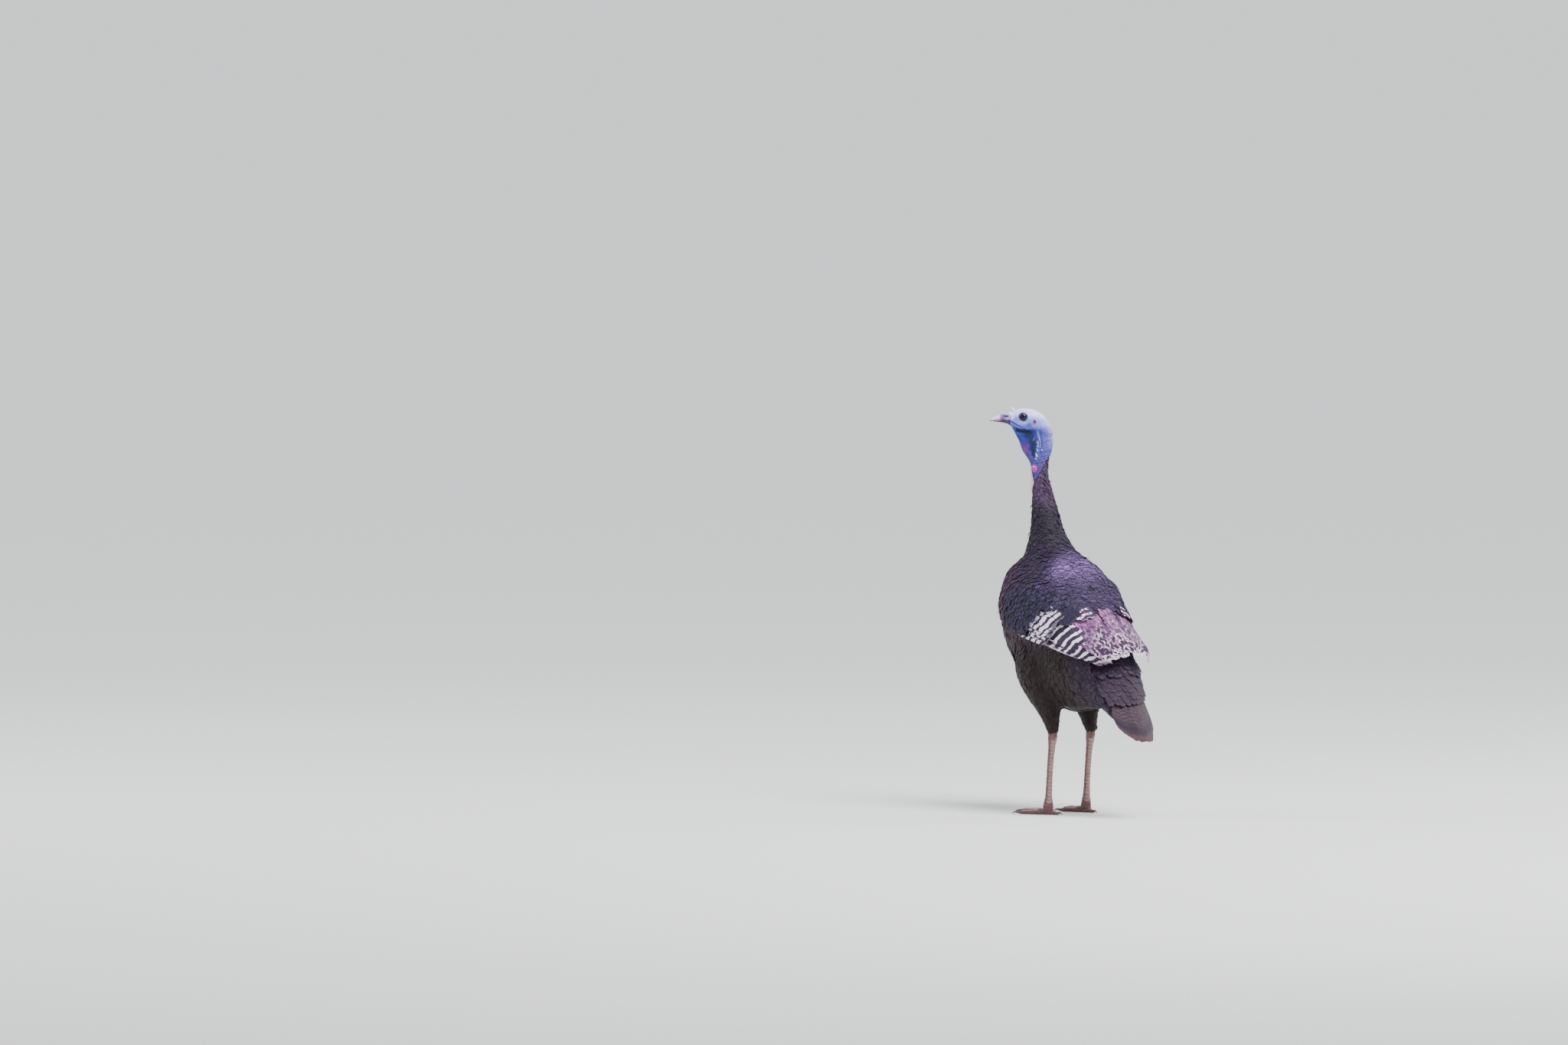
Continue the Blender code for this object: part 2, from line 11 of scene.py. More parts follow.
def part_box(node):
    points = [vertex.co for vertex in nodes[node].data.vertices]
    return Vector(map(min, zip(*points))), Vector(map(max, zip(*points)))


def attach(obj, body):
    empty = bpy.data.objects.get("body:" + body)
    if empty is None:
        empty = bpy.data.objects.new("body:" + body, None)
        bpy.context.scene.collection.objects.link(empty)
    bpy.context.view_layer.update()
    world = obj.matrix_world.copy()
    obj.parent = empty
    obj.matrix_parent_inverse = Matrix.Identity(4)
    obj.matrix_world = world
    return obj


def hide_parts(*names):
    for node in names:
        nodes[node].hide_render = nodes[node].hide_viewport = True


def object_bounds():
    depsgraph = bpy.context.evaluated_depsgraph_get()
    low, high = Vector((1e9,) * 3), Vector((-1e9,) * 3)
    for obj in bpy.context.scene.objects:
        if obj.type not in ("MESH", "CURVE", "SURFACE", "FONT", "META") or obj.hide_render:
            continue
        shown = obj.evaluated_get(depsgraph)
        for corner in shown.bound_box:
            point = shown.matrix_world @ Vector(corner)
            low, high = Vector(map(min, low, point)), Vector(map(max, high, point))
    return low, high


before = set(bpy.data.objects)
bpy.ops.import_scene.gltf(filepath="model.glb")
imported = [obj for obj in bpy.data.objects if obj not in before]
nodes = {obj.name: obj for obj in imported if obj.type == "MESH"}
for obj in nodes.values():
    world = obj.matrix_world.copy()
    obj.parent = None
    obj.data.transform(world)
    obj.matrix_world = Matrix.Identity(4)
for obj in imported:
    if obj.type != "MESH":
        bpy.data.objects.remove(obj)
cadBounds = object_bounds()
chance = np.random.default_rng(17)


# places read from the solids
def centreOf(node):
    low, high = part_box(node)
    return (low + high) / 2


landmarks = {
    "eyeForward": 0.0374,  # the eyes, ahead of the neck's middle
    "neckForward": 0.058,  # the neck's middle, ahead of the feet
}
eyeMiddle = (centreOf("eye_left") + centreOf("eye_right")) / 2
headLeft = (centreOf("eye_left") - centreOf("eye_right")).normalized()
headAhead = Vector((headLeft.y, -headLeft.x, 0))
neckMiddle = eyeMiddle - headAhead * landmarks["eyeForward"]
neckMiddle.z = 0
footY = neckMiddle.y + landmarks["neckForward"]  # the point between the feet
eyeHeight = eyeMiddle.z


def headPlace(points):
    # ahead, left and up in the turned head's own directions
    local = np.asarray(points, float) - np.array(neckMiddle)
    return np.stack([local @ np.array(headAhead), local @ np.array(headLeft), local[..., 2]], -1)


def headPoint(ahead, left, up):
    return np.array(neckMiddle + headAhead * ahead + headLeft * left) + np.array((0, 0, up))


# small helpers
def linear(code):
    # an sRGB hex colour as linear light
    parts = [int(code[k:k + 2], 16) / 255 for k in (1, 3, 5)]
    return np.array([c / 12.92 if c <= 0.04045 else ((c + 0.055) / 1.055) ** 2.4 for c in parts])


def ease(low, high, value):
    t = np.clip((value - low) / (high - low), 0, 1)
    return t * t * (3 - 2 * t)


def bell(value, middle, width):
    # 1 at the middle, fading either side of it
    return np.exp(-(((value - middle) / width) ** 2))


def mixed(first, second, share):
    share = np.asarray(share)[..., None]
    return first * (1 - share) + second * share


def unit(vectors):
    return vectors / np.maximum(np.linalg.norm(vectors, axis=-1, keepdims=True), 1e-12)


def smoothRows(rows, at):
    # the columns after the first, on smooth curves through the rows that never overshoot
    table = np.array(sorted(rows), float)
    x, y = table[:, 0], table[:, 1:]
    at = np.clip(at, x[0], x[-1])
    rise = np.diff(y, axis=0) / np.diff(x)[:, None]
    slope = np.zeros_like(y)
    both = rise[:-1] * rise[1:]
    total = rise[:-1] + rise[1:]
    slope[1:-1] = np.where(both > 0, 2 * both / np.where(total == 0, 1, total), 0)
    slope[0] = rise[0]
    slope[-1] = rise[-1]
    k = np.clip(np.searchsorted(x, at, side="right") - 1, 0, len(x) - 2)
    width = (x[k + 1] - x[k])[..., None]
    t = (at - x[k])[..., None] / width
    values = (
        y[k] * (2 * t**3 - 3 * t**2 + 1)
        + slope[k] * width * (t**3 - 2 * t**2 + t)
        + y[k + 1] * (3 * t**2 - 2 * t**3)
        + slope[k + 1] * width * (t**3 - t**2)
    )
    return [values[..., c] for c in range(values.shape[-1])]


def onlyActive(obj):
    bpy.ops.object.select_all(action="DESELECT")
    obj.select_set(True)
    bpy.context.view_layer.objects.active = obj


def applyModifier(obj, kind, **settings):
    onlyActive(obj)
    modifier = obj.modifiers.new("step", kind)
    for key, value in settings.items():
        setattr(modifier, key, value)
    bpy.ops.object.modifier_apply(modifier=modifier.name)


def remeshed(obj, grid, smoothing):
    # even faces of one size, then rounded edges
    applyModifier(obj, "REMESH", mode="VOXEL", voxel_size=grid)
    applyModifier(obj, "SMOOTH", factor=0.5, iterations=smoothing)


def joinedCopy(name, parts):
    # merged copies of solids, joined into one mesh
    bpy.ops.object.select_all(action="DESELECT")
    for part in parts:
        copy = nodes[part].copy()
        copy.data = nodes[part].data.copy()
        copy.parent = None
        for key in list(copy.keys()):
            del copy[key]
        bpy.context.scene.collection.objects.link(copy)
        copy.select_set(True)
        bpy.context.view_layer.objects.active = copy
    bpy.ops.object.join()
    joined = bpy.context.view_layer.objects.active
    joined.name = joined.data.name = name
    joined.data.materials.clear()
    bpy.ops.object.mode_set(mode="EDIT")
    bpy.ops.mesh.select_all(action="SELECT")
    bpy.ops.mesh.remove_doubles(threshold=0.00001)
    bpy.ops.object.mode_set(mode="OBJECT")
    return joined


def pointsOf(obj):
    flat = np.empty(len(obj.data.vertices) * 3)
    obj.data.vertices.foreach_get("co", flat)
    return flat.reshape(-1, 3)


def normalsOf(obj):
    flat = np.empty(len(obj.data.vertices) * 3, np.float32)
    obj.data.vertex_normals.foreach_get("vector", flat)
    return flat.reshape(-1, 3).astype(float)


def movePoints(obj, points):
    obj.data.vertices.foreach_set("co", points.ravel())
    obj.data.update()


def treeOf(obj):
    obj.data.calc_loop_triangles()
    corners = [tuple(v.co) for v in obj.data.vertices]
    triangles = [tuple(t.vertices) for t in obj.data.loop_triangles]
    return BVHTree.FromPolygons(corners, triangles), np.array(triangles), np.array(corners)


def pairs(*sides):
    return [name.replace("SIDE", side) for side in ("left", "right") for name in sides]


# the outer shape of the plumage, smoothed from the solids
outer = {
    "grid": 0.0036, "smoothing": 12,
    # plumage flows over the edge between wing and body: above this height, this far from both
    "seamAbove": 0.300, "seamReach": 0.012, "seamFade": 0.005, "seamSmoothing": 70,
}
plumageParts = ["trunk", "neck_lower", "neck_middle", "neck_bare", "tail_coverts_upper", "tail_coverts_under"]
plumageParts += pairs(
    "wing_SIDE_coverts", "wing_SIDE_secondaries", "wing_SIDE_primaries", "thigh_SIDE", "shank_SIDE")
outerShape = joinedCopy("outerShape", plumageParts)
remeshed(outerShape, outer["grid"], outer["smoothing"])
seam = outerShape.vertex_groups.new(name="seam")
seamTrees = []
for parts in (pairs("wing_SIDE_coverts"), ["trunk", "neck_lower"]):
    part = joinedCopy("seamPart", parts)
    seamTrees.append(treeOf(part)[0])
    bpy.data.objects.remove(part)
for k, point in enumerate(pointsOf(outerShape)):
    gap = max(tree.find_nearest(Vector(point))[3] for tree in seamTrees)
    if point[2] > outer["seamAbove"] and gap < outer["seamReach"]:
        seam.add([k], min(1.0, (outer["seamReach"] - gap) / outer["seamFade"]), "REPLACE")
applyModifier(outerShape, "SMOOTH", factor=0.5, iterations=outer["seamSmoothing"], vertex_group="seam")
outerTree, outerTriangles, outerCorners = treeOf(outerShape)
outerNormals = normalsOf(outerShape)
bpy.data.objects.remove(outerShape)


def layOn(points):
    # the nearest places on the outer shape and the smooth normals there
    flat = points.reshape(-1, 3)
    spots = np.empty_like(flat)
    ups = np.empty_like(flat)
    for k, point in enumerate(flat):
        spot, _, face, _ = outerTree.find_nearest(Vector(point))
        spots[k] = spot
        tri = outerTriangles[face]
        weights = 1 / (np.linalg.norm(outerCorners[tri] - np.array(spot), axis=1) + 1e-5)
        ups[k] = weights @ outerNormals[tri]
    return spots.reshape(points.shape), unit(ups).reshape(points.shape)


groupTrees = {}
for group, parts in {
    "body": ["trunk", "neck_lower", "neck_middle"],
    "wingCovert": pairs("wing_SIDE_coverts"),
    "wingFlight": pairs("wing_SIDE_secondaries", "wing_SIDE_primaries"),
    "thigh": pairs("thigh_SIDE"),
    "tailRoot": ["tail_coverts_upper", "tail_coverts_under"],
}.items():
    part = joinedCopy(group, parts)
    groupTrees[group] = treeOf(part)[0]
    bpy.data.objects.remove(part)
groupNames = list(groupTrees)


def groupOf(points):
    # which group of solids each point lies on
    found = np.empty(len(points), int)
    for k, point in enumerate(points):
        found[k] = np.argmin([groupTrees[g].find_nearest(Vector(point))[3] for g in groupNames])
    return found


print("outer shape ready", len(outerCorners))


# feathers as joined meshes
def vaneObject(name, points, outward, across, along, colours, bakePlace):
    # points are feathers x rows along x columns across; outward is each feather's upper side
    count, rows, columns = points.shape[:3]
    grid = np.arange(rows * columns).reshape(rows, columns)
    quads = np.stack([grid[:-1, :-1], grid[:-1, 1:], grid[1:, 1:], grid[1:, :-1]], -1).reshape(-1, 4)
    first, second, _, fourth = points.reshape(count, -1, 3)[:, quads[len(quads) // 2]].swapaxes(0, 1)
    turned = (np.cross(second - first, fourth - first) * outward).sum(-1) < 0
    faces = quads[None] + (np.arange(count) * rows * columns)[:, None, None]
    faces[turned] = faces[turned][..., ::-1]
    faces = faces.reshape(-1)
    mesh = bpy.data.meshes.new(name)
    mesh.vertices.add(count * rows * columns)
    mesh.vertices.foreach_set("co", points.ravel())
    mesh.loops.add(len(faces))
    mesh.loops.foreach_set("vertex_index", faces)
    mesh.polygons.add(len(faces) // 4)
    mesh.polygons.foreach_set("loop_start", np.arange(0, len(faces), 4))
    mesh.update(calc_edges=True)
    mesh.shade_smooth()
    vane = mesh.uv_layers.new(name="vane")
    place = np.broadcast_to(np.stack([across, along], -1), (count, rows, columns, 2)).reshape(-1, 2)
    vane.data.foreach_set("uv", place[faces].ravel())
    bake = mesh.uv_layers.new(name="OFBake")
    bake.data.foreach_set("uv", bakePlace.reshape(-1, 2)[faces].ravel())
    for key, values in colours.items():
        layer = mesh.attributes.new(key, "FLOAT_COLOR", "POINT")
        full = np.ones((count * rows * columns, 4), np.float32)
        full[:, :3] = np.broadcast_to(values, (count, rows, columns, 3)).reshape(-1, 3)
        layer.data.foreach_set("color", full.ravel())
    obj = bpy.data.objects.new(name, mesh)
    bpy.context.scene.collection.objects.link(obj)
    return obj


def smallPatches(roots, across, along, size=0.003):
    # each feather's patch lies at its root's place on an unwrap round the upright middle line
    turn = np.arctan2(roots[:, 0], roots[:, 1] - footY) / (2 * math.pi) + 0.5
    place = np.stack([0.02 + 0.96 * turn, 0.02 + 0.96 * roots[:, 2] / cadBounds[1].z], -1)
    patch = np.stack([across - 0.5, along - 0.5], -1) * size
    return place[:, None, None, :] + patch[None]


def islandPatches(count, across, along):
    # large feathers get upright islands of their own, side by side
    start = np.arange(count)[:, None, None, None] / count
    width = 0.96 / count
    island = np.stack([across * width + 0.02 / count, 0.02 + 0.96 * along], -1)[None]
    return island + np.concatenate([start, start * 0], -1)


def spread(shape, rows, columns):
    # one vane's shape: half width along it, and how far its outer columns fall short of its tip
    along = np.linspace(0, 1, rows)[:, None] * np.ones(columns)
    side = np.linspace(-1, 1, columns)[None, :] * np.ones((rows, 1))
    along = along ** shape["spacing"]
    reach = along * (1 - shape["round"] * np.abs(side) ** shape["roundPower"])
    width = smoothRows(shape["width"], along[:, 0])[0][:, None] * np.ones(columns)
    return along, side, reach, width


contourShape = {
    "round": 0.24, "roundPower": 2.4, "spacing": 0.85,
    "width": ((0, 0.30), (0.25, 0.72), (0.6, 0.98), (0.85, 1.0), (1, 0.93)),
}


def layContour(name, roots, flows, lengths, widths, colourOf, settings):
    # lays short feathers along the outer shape, roots sunk and tips raised a little over it
    rows, columns, steps = settings["rows"], settings["columns"], 5
    count = len(roots)
    lengths = lengths * np.exp(chance.normal(0, 0.09, count))
    widths = widths * np.exp(chance.normal(0, 0.07, count))
    spots, ups = layOn(roots + chance.normal(0, 1, (count, 3)) * widths[:, None] * 0.07)
    spine = [spots]
    turn = chance.normal(0, settings["twist"], count)[:, None]
    flow = unit(flows - (flows * ups).sum(-1, keepdims=True) * ups)
    flow = unit(flow + np.cross(ups, flow) * turn)
    spineUps, spineFlows = [ups], [flow]
    for _ in range(steps):
        ahead, ups = layOn(spine[-1] + flow * (lengths / steps)[:, None])
        flow = unit(flow - (flow * ups).sum(-1, keepdims=True) * ups)
        spine.append(ahead)
        spineUps.append(ups)
        spineFlows.append(flow)
    spine, spineUps, spineFlows = (np.stack(x, 1) for x in (spine, spineUps, spineFlows))
    along, side, reach, width = spread(contourShape, rows, columns)
    fray = chance.uniform(-1, 1, (count, 1, columns)) * settings["fray"]
    at = np.clip(reach[None] * (1 + fray * along[None] ** 3), 0, 1) * steps
    low = np.clip(np.floor(at).astype(int), 0, steps - 1)
    share = (at - low)[..., None]
    row = np.arange(count)[:, None, None]
    middle = spine[row, low] * (1 - share) + spine[row, low + 1] * share
    ups = unit(spineUps[row, low] * (1 - share) + spineUps[row, low + 1] * share)
    ahead = unit(spineFlows[row, low] * (1 - share) + spineFlows[row, low + 1] * share)
    sideways = unit(np.cross(ups, ahead))
    lean = (side * width)[None] * widths[:, None, None]
    flat, flatUps = layOn(middle + sideways * lean[..., None])
    loose = np.exp(chance.normal(0, settings["loose"], count))[:, None, None]
    height = -settings["sink"] * (1 - along) ** 1.3 + settings["tip"] * along**1.6 * loose
    height = height - settings["bow"] * side**2 * along
    height = height + settings["jitter"] * chance.normal(0, 1, (count, 1, 1))
    ripple = settings["ripple"] * np.sin(side * 9 + along * 4 + chance.uniform(0, 6, (count, 1, 1)))
    points = flat + flatUps * (height + ripple * along)[..., None]
    uv = (side + 1) / 2
    colours = colourOf(points[:, -2, columns // 2])
    made = vaneObject(name, points, flatUps[:, -2, columns // 2], uv, along, colours,
                      smallPatches(spots, uv, along))
    addBarbs(made, lean, along[None] * lengths[:, None, None])
    fringe = layFringe(name + "Fringe", points, flatUps, colours)
    print(name, count, "feathers")
    return made, fringe


def layFringe(name, points, ups, colours):
    # fine loose barbs standing past each feather's tip
    count, _, columns = points.shape[:3]
    picked = np.repeat(np.arange(1, columns - 1), 2)
    many = (count, len(picked), 1)
    base = points[:, -2, picked]
    ahead = points[:, -1, picked] - base
    beside = unit(points[:, -2, picked + 1] - points[:, -2, picked - 1])
    base = base + beside * chance.normal(0, 0.0003, many)
    way = unit(unit(ahead) + beside * chance.normal(0, 0.25, many))
    reach = np.linalg.norm(ahead, axis=-1, keepdims=True) + chance.uniform(0.0002, 0.0018, many)
    steps = np.array((0, 0.55, 1))[None, None, :, None]
    stand = (ups[:, -2, picked] * chance.uniform(0.0001, 0.0009, many))[:, :, None] * steps**2
    line = (base + ups[:, -2, picked] * 0.00012)[:, :, None] + (way * reach)[:, :, None] * steps + stand
    width = 0.00015 * (1 - 0.7 * steps)
    half = beside[:, :, None] * width
    points = np.stack([line - half, line + half], -2).reshape(-1, 3, 2, 3)
    across, along = np.meshgrid((0.0, 1.0), steps.ravel())
    tone = colours["tint"][:, 0] * 0.60 + colours["gloss"][:, 0] * 0.26
    tone = (tone * np.exp(chance.normal(0, 0.35, many))).reshape(-1, 1, 1, 3)
    return vaneObject(name, points, ups[:, -2, picked].reshape(-1, 3), across, along, {"tint": tone},
                      smallPatches(base.reshape(-1, 3), across, along, 0.001))


# rows of feathers round the neck and body
bodyLine = {
    # forward of the feet and height of the middle line, from the nape down to the tail
    "path": (
        (-1, 0.064, 0.656), (0, 0.064, 0.601), (1, 0.063, 0.560), (2, 0.056, 0.525), (3, 0.045, 0.490),
        (4, 0.027, 0.450), (5, 0.005, 0.405), (6, -0.025, 0.358), (7, -0.058, 0.313), (8, -0.093, 0.268),
        (9, -0.127, 0.229), (10, -0.160, 0.196),
    ),
    # how far down the line: row spacing and spacing across
    "spacing": (
        (0.00, 0.0028, 0.0036), (0.06, 0.0030, 0.0040), (0.10, 0.0034, 0.0049), (0.17, 0.0041, 0.0067),
        (0.24, 0.0047, 0.0079), (0.31, 0.0052, 0.0088), (0.40, 0.0061, 0.0102), (0.50, 0.0074, 0.0120),
        (0.58, 0.0086, 0.0134),
    ),
}


def lineOfBody():
    t = np.linspace(-1, 10, 440)
    forward, height = smoothRows(bodyLine["path"], t)
    for _ in range(200):
        forward[1:-1] = (forward[:-2] + forward[2:]) / 2
        height[1:-1] = (height[:-2] + height[2:]) / 2
    points = np.stack([np.zeros_like(t), footY - forward, height], -1)
    steps = np.linalg.norm(np.diff(points, axis=0), axis=1)
    return points, np.concatenate([[0], np.cumsum(steps)])


def rowAround(centre, axis, rays=96):
    # places where a plane across the axis meets the outer shape
    first = unit(np.array((1.0, 0, 0)) - axis[0] * axis)
    second = np.cross(axis, first)
    hits = []
    for turn in np.linspace(0, 2 * math.pi, rays, endpoint=False):
        way = first * math.cos(turn) + second * math.sin(turn)
        spot = outerTree.ray_cast(Vector(centre), Vector(way))[0]
        hits.append(spot if spot is not None else Vector(centre + way * 0.01))
    return np.array([tuple(h) for h in hits])


def evenly(ring, spacing, start):
    # places spaced evenly round a ring, with their turn as a share of it
    closed = np.vstack([ring, ring[:1]])
    steps = np.linalg.norm(np.diff(closed, axis=0), axis=1)
    total = np.concatenate([[0], np.cumsum(steps)])
    count = max(6, int(round(total[-1] / spacing)))
    at = ((np.arange(count) + start) % count) * total[-1] / count
    share = np.interp(at, total, np.arange(len(closed)))
    places = np.stack([np.interp(at, total, closed[:, c]) for c in range(3)], -1)
    return places, share


def bodyRoots():
    line, far = lineOfBody()
    roots, flows, exposed, downLine = [], [], [], []
    at, odd, before = 0.0, 0, None
    while at < far[-1]:
        centre = np.array([np.interp(at, far, line[:, c]) for c in range(3)])
        ahead = np.array([np.interp(at + 0.01, far, line[:, c]) for c in range(3)])
        behind = np.array([np.interp(at - 0.01, far, line[:, c]) for c in range(3)])
        axis = unit(ahead - behind)
        ring = rowAround(centre, axis)
        step, across = (float(v) for v in smoothRows(bodyLine["spacing"], np.array(at)))
        if before is None:
            before = ring - axis * step
        gaps = np.linalg.norm(ring - before, axis=1)
        parts = np.maximum(1, np.round(gaps / step))  # where rows fan out, others come in between
        for number in range(int(parts.max())):
            between = ring + (before - ring) * np.minimum(number / parts, 1)[:, None]
            places, share = evenly(between, across, 0.5 * odd)
            inside = parts[np.round(share).astype(int) % len(ring)] > number
            roots.append(places[inside])
            flows.append(np.broadcast_to(axis, places.shape)[inside])
            bare = np.append(gaps / parts, gaps[0] / parts[0])
            exposed.append(np.interp(share, np.arange(len(ring) + 1), bare)[inside])
            downLine.append(np.full(inside.sum(), at))
            odd = 1 - odd
        before = ring
        at += step
    return [np.concatenate(x) for x in (roots, flows, exposed, downLine)]


def evened(points, values, near=40):
    # each value averaged with those of its nearest neighbours
    tree = KDTree(len(points))
    for k, point in enumerate(points):
        tree.insert(Vector(point), k)
    tree.balance()
    return np.array([values[[k for _, k, _ in tree.find_n(Vector(point), near)]].mean() for point in points])


roots, flows, exposed, downLine = bodyRoots()
exposed = evened(roots, exposed)
rootGroups = groupOf(roots)
print("body roots", len(roots), "down to", round(float(downLine.max()), 3))


# folded wings: guides for their long feathers
wing = {
    # height, reach ahead of the feet, reach behind, half width: the outside of the wings
    "slices": (
        (0.459, 0.092, -0.038, 0.053), (0.437, 0.119, -0.070, 0.080), (0.415, 0.132, -0.093, 0.091),
        (0.388, 0.139, -0.109, 0.096), (0.368, 0.138, -0.124, 0.099), (0.328, 0.128, -0.156, 0.102),
        (0.304, 0.116, -0.183, 0.100), (0.283, 0.102, -0.197, 0.094), (0.262, 0.090, -0.202, 0.086),
    ),
    # share of the wing's length: upper edge's height and turn, lower edge's height and turn
    "edges": (
        (0.00, 0.402, 62, 0.364, 56), (0.06, 0.414, 66, 0.348, 60), (0.18, 0.424, 84, 0.334, 71),
        (0.34, 0.421, 118, 0.324, 92), (0.52, 0.404, 152, 0.310, 110), (0.68, 0.378, 170, 0.297, 123),
        (0.82, 0.344, 175, 0.284, 134), (0.92, 0.314, 176, 0.273, 141), (1.00, 0.290, 176, 0.264, 146),
    ),
    "fullness": 2.25,
    "spanAcross": 0.105, "spanAlong": 0.32,
}


def wingPoint(along, across, lift, side):
    high, highTurn, low, lowTurn = smoothRows(wing["edges"], along)
    height = high + (low - high) * across
    turn = np.radians(highTurn + (lowTurn - highTurn) * across)
    front, back, half = smoothRows(wing["slices"], height)
    power = 2 / wing["fullness"]
    forward = ((front - back) / 2 + lift) * np.sign(np.cos(turn)) * np.abs(np.cos(turn)) ** power
    left = (half + lift) * np.sign(np.sin(turn)) * np.abs(np.sin(turn)) ** power
    return np.stack([side * left, footY - (front + back) / 2 - forward, height], -1)


def wingUps(along, across, side):
    step = 0.01
    down = wingPoint(along + step, across, 0, side) - wingPoint(along - step, across, 0, side)
    over = wingPoint(along, across + step, 0, side) - wingPoint(along, across - step, 0, side)
    ups = unit(np.cross(down, over))
    return ups * np.sign((ups * (wingPoint(along, across, 0.01, side) - wingPoint(along, across, 0, side)))
                         .sum(-1, keepdims=True))


def layQuills(name, side, guides, shape, rows, columns, liftOf):
    # long feathers of the wing: guides are (start along, start across, end along, end across, half width)
    guides = np.array(guides)
    along, lateral, reach, width = spread(shape, rows, columns)
    count = len(guides)
    startAlong, startAcross, endAlong, endAcross, halfWidth = (guides[:, k, None, None] for k in range(5))
    downWing = startAlong + (endAlong - startAlong) * reach[None]
    overWing = startAcross + (endAcross - startAcross) * reach[None]
    lift = liftOf(np.arange(count)[:, None, None], downWing, reach[None])
    middle = wingPoint(downWing, overWing, lift, side)
    ahead = unit(wingPoint(downWing + 0.01, overWing + (endAcross - startAcross) * 0.01, lift, side) - middle)
    ups = wingUps(downWing, overWing, side)
    sideways = unit(np.cross(ups, ahead)) * side
    lean = (lateral * np.where(lateral > 0, shape["outer"], 1.0) * width)[None] * halfWidth
    points = middle + sideways * lean[..., None] - ups * (shape["bow"] * lean**2 / 0.01)[..., None]
    uv = (lateral + 1) / 2
    made = vaneObject(name, points, ups[:, rows // 2, 0], uv, along, {}, islandPatches(count, uv, along))
    far = np.linalg.norm(points[:, -1, columns // 2] - points[:, 0, columns // 2], axis=-1)[:, None, None]
    offset = chance.normal(0, shape["barJitter"], count)[:, None, None]
    marks = (lateral[None] * 0.01, along[None] * far + offset)
    if shape.get("barsMatch"):  # bars run on from feather to feather
        marks = (overWing * wing["spanAcross"] - lean * 0.9, downWing * wing["spanAlong"] + offset)
    addBarbs(made, lean, along[None] * far, marks)
    print(name, count, "feathers")
    return made


# node materials
barbSlant = 0.9  # how far the barbs run towards the tip for each step out from the shaft
nodeKinds = {
    # a node's type, its sockets in order, its settings and its output; other kinds are operations of Math
    "rise": ("MapRange", ("Value", "From Min", "From Max"), {"interpolation_type": "SMOOTHSTEP"}, 0),
    "blend": ("Mix", (0, 6, 7), {"data_type": "RGBA"}, 2),
    "tinted": ("Mix", (6, 7), {"data_type": "RGBA", "blend_type": "MULTIPLY"}, 2),
    "grey": ("CombineColor", (0, 1, 2), {}, 0),
    "noise": ("TexNoise", ("Scale", "Detail", "Vector"), {}, "Fac"),
    "push": ("TexNoise", ("Scale", "Detail", "Vector"), {}, "Color"),
    "cells": ("TexVoronoi", ("Scale", "Randomness", "Vector"), {}, "Distance"),
    "stretched": ("Mapping", ("Scale", "Vector"), {}, 0),
    "vector": ("VectorMath", (0, 1), {}, 0),
    "measure": ("VectorMath", (0, 1), {}, "Value"),
    "attribute": ("Attribute", (), {}, "Color"),
    "place": ("TexCoord", (), {}, "Object"),
    "uv": ("UVMap", (), {}, 0),
    "split": ("SeparateXYZ", (0,), {}, None),
    "relief": ("Bump", ("Height", "Distance", "Strength"), {}, 0),
}
shaderSockets = {
    "roughness": "Roughness", "specular": "Specular IOR Level", "specularTint": "Specular Tint",
    "sheen": "Sheen Weight", "sheenRoughness": "Sheen Roughness", "sheenTint": "Sheen Tint",
    "coat": "Coat Weight", "coatRoughness": "Coat Roughness", "flesh": "Subsurface Weight",
    "fleshRadius": "Subsurface Radius", "fleshScale": "Subsurface Scale",
}


def addNode(tree, kind, *values, **settings):
    # adds one node with its settings and links, and returns its output; patterns start from Object places
    plain = ("Math", (0, 1, 2), {"operation": kind}, 0)
    nodeType, sockets, fixed, output = nodeKinds.get(kind, plain)
    node = tree.nodes.new("ShaderNode" + nodeType)
    for key, value in {**fixed, **settings}.items():
        setattr(node, key, value)
    if "Vector" in sockets and len(values) < len(sockets):
        tree.links.new(addNode(tree, "place"), node.inputs["Vector"])
    if kind == "tinted":
        node.inputs[0].default_value = 1.0
    for socket, value in zip(sockets, values):
        if isinstance(value, bpy.types.NodeSocket):
            tree.links.new(value, node.inputs[socket])
        elif value is not None:
            node.inputs[socket].default_value = (*linear(value), 1) if isinstance(value, str) else value
    return node.outputs if output is None else node.outputs[output]


def newMaterial(name):
    # a new material, the function that adds its nodes and its shader
    material = bpy.data.materials.new(name)
    material.use_nodes = True
    tree = material.node_tree
    tree.nodes.clear()
    surface = tree.nodes.new("ShaderNodeBsdfPrincipled")
    out = tree.nodes.new("ShaderNodeOutputMaterial")
    tree.links.new(surface.outputs[0], out.inputs["Surface"])
    return material, partial(addNode, tree), surface


def dress(surface, colour, relief=None, **finish):
    # the shader's colour, its relief as height, distance and strength, and the values of its finish
    tree = surface.id_data
    tree.links.new(colour, surface.inputs["Base Color"])
    if relief:
        tree.links.new(addNode(tree, "relief", *relief), surface.inputs["Normal"])
    for key, value in finish.items():
        value = (*linear(value), 1) if isinstance(value, str) else value
        surface.inputs[shaderSockets[key]].default_value = value


def product(add, first, *others):
    for other in others:
        first = add("MULTIPLY", first, other)
    return first


def largest(add, first, *others):
    for other in others:
        first = add("MAXIMUM", first, other)
    return first


def layerPlaces(add, name):
    return add("split", add("uv", uv_map=name))


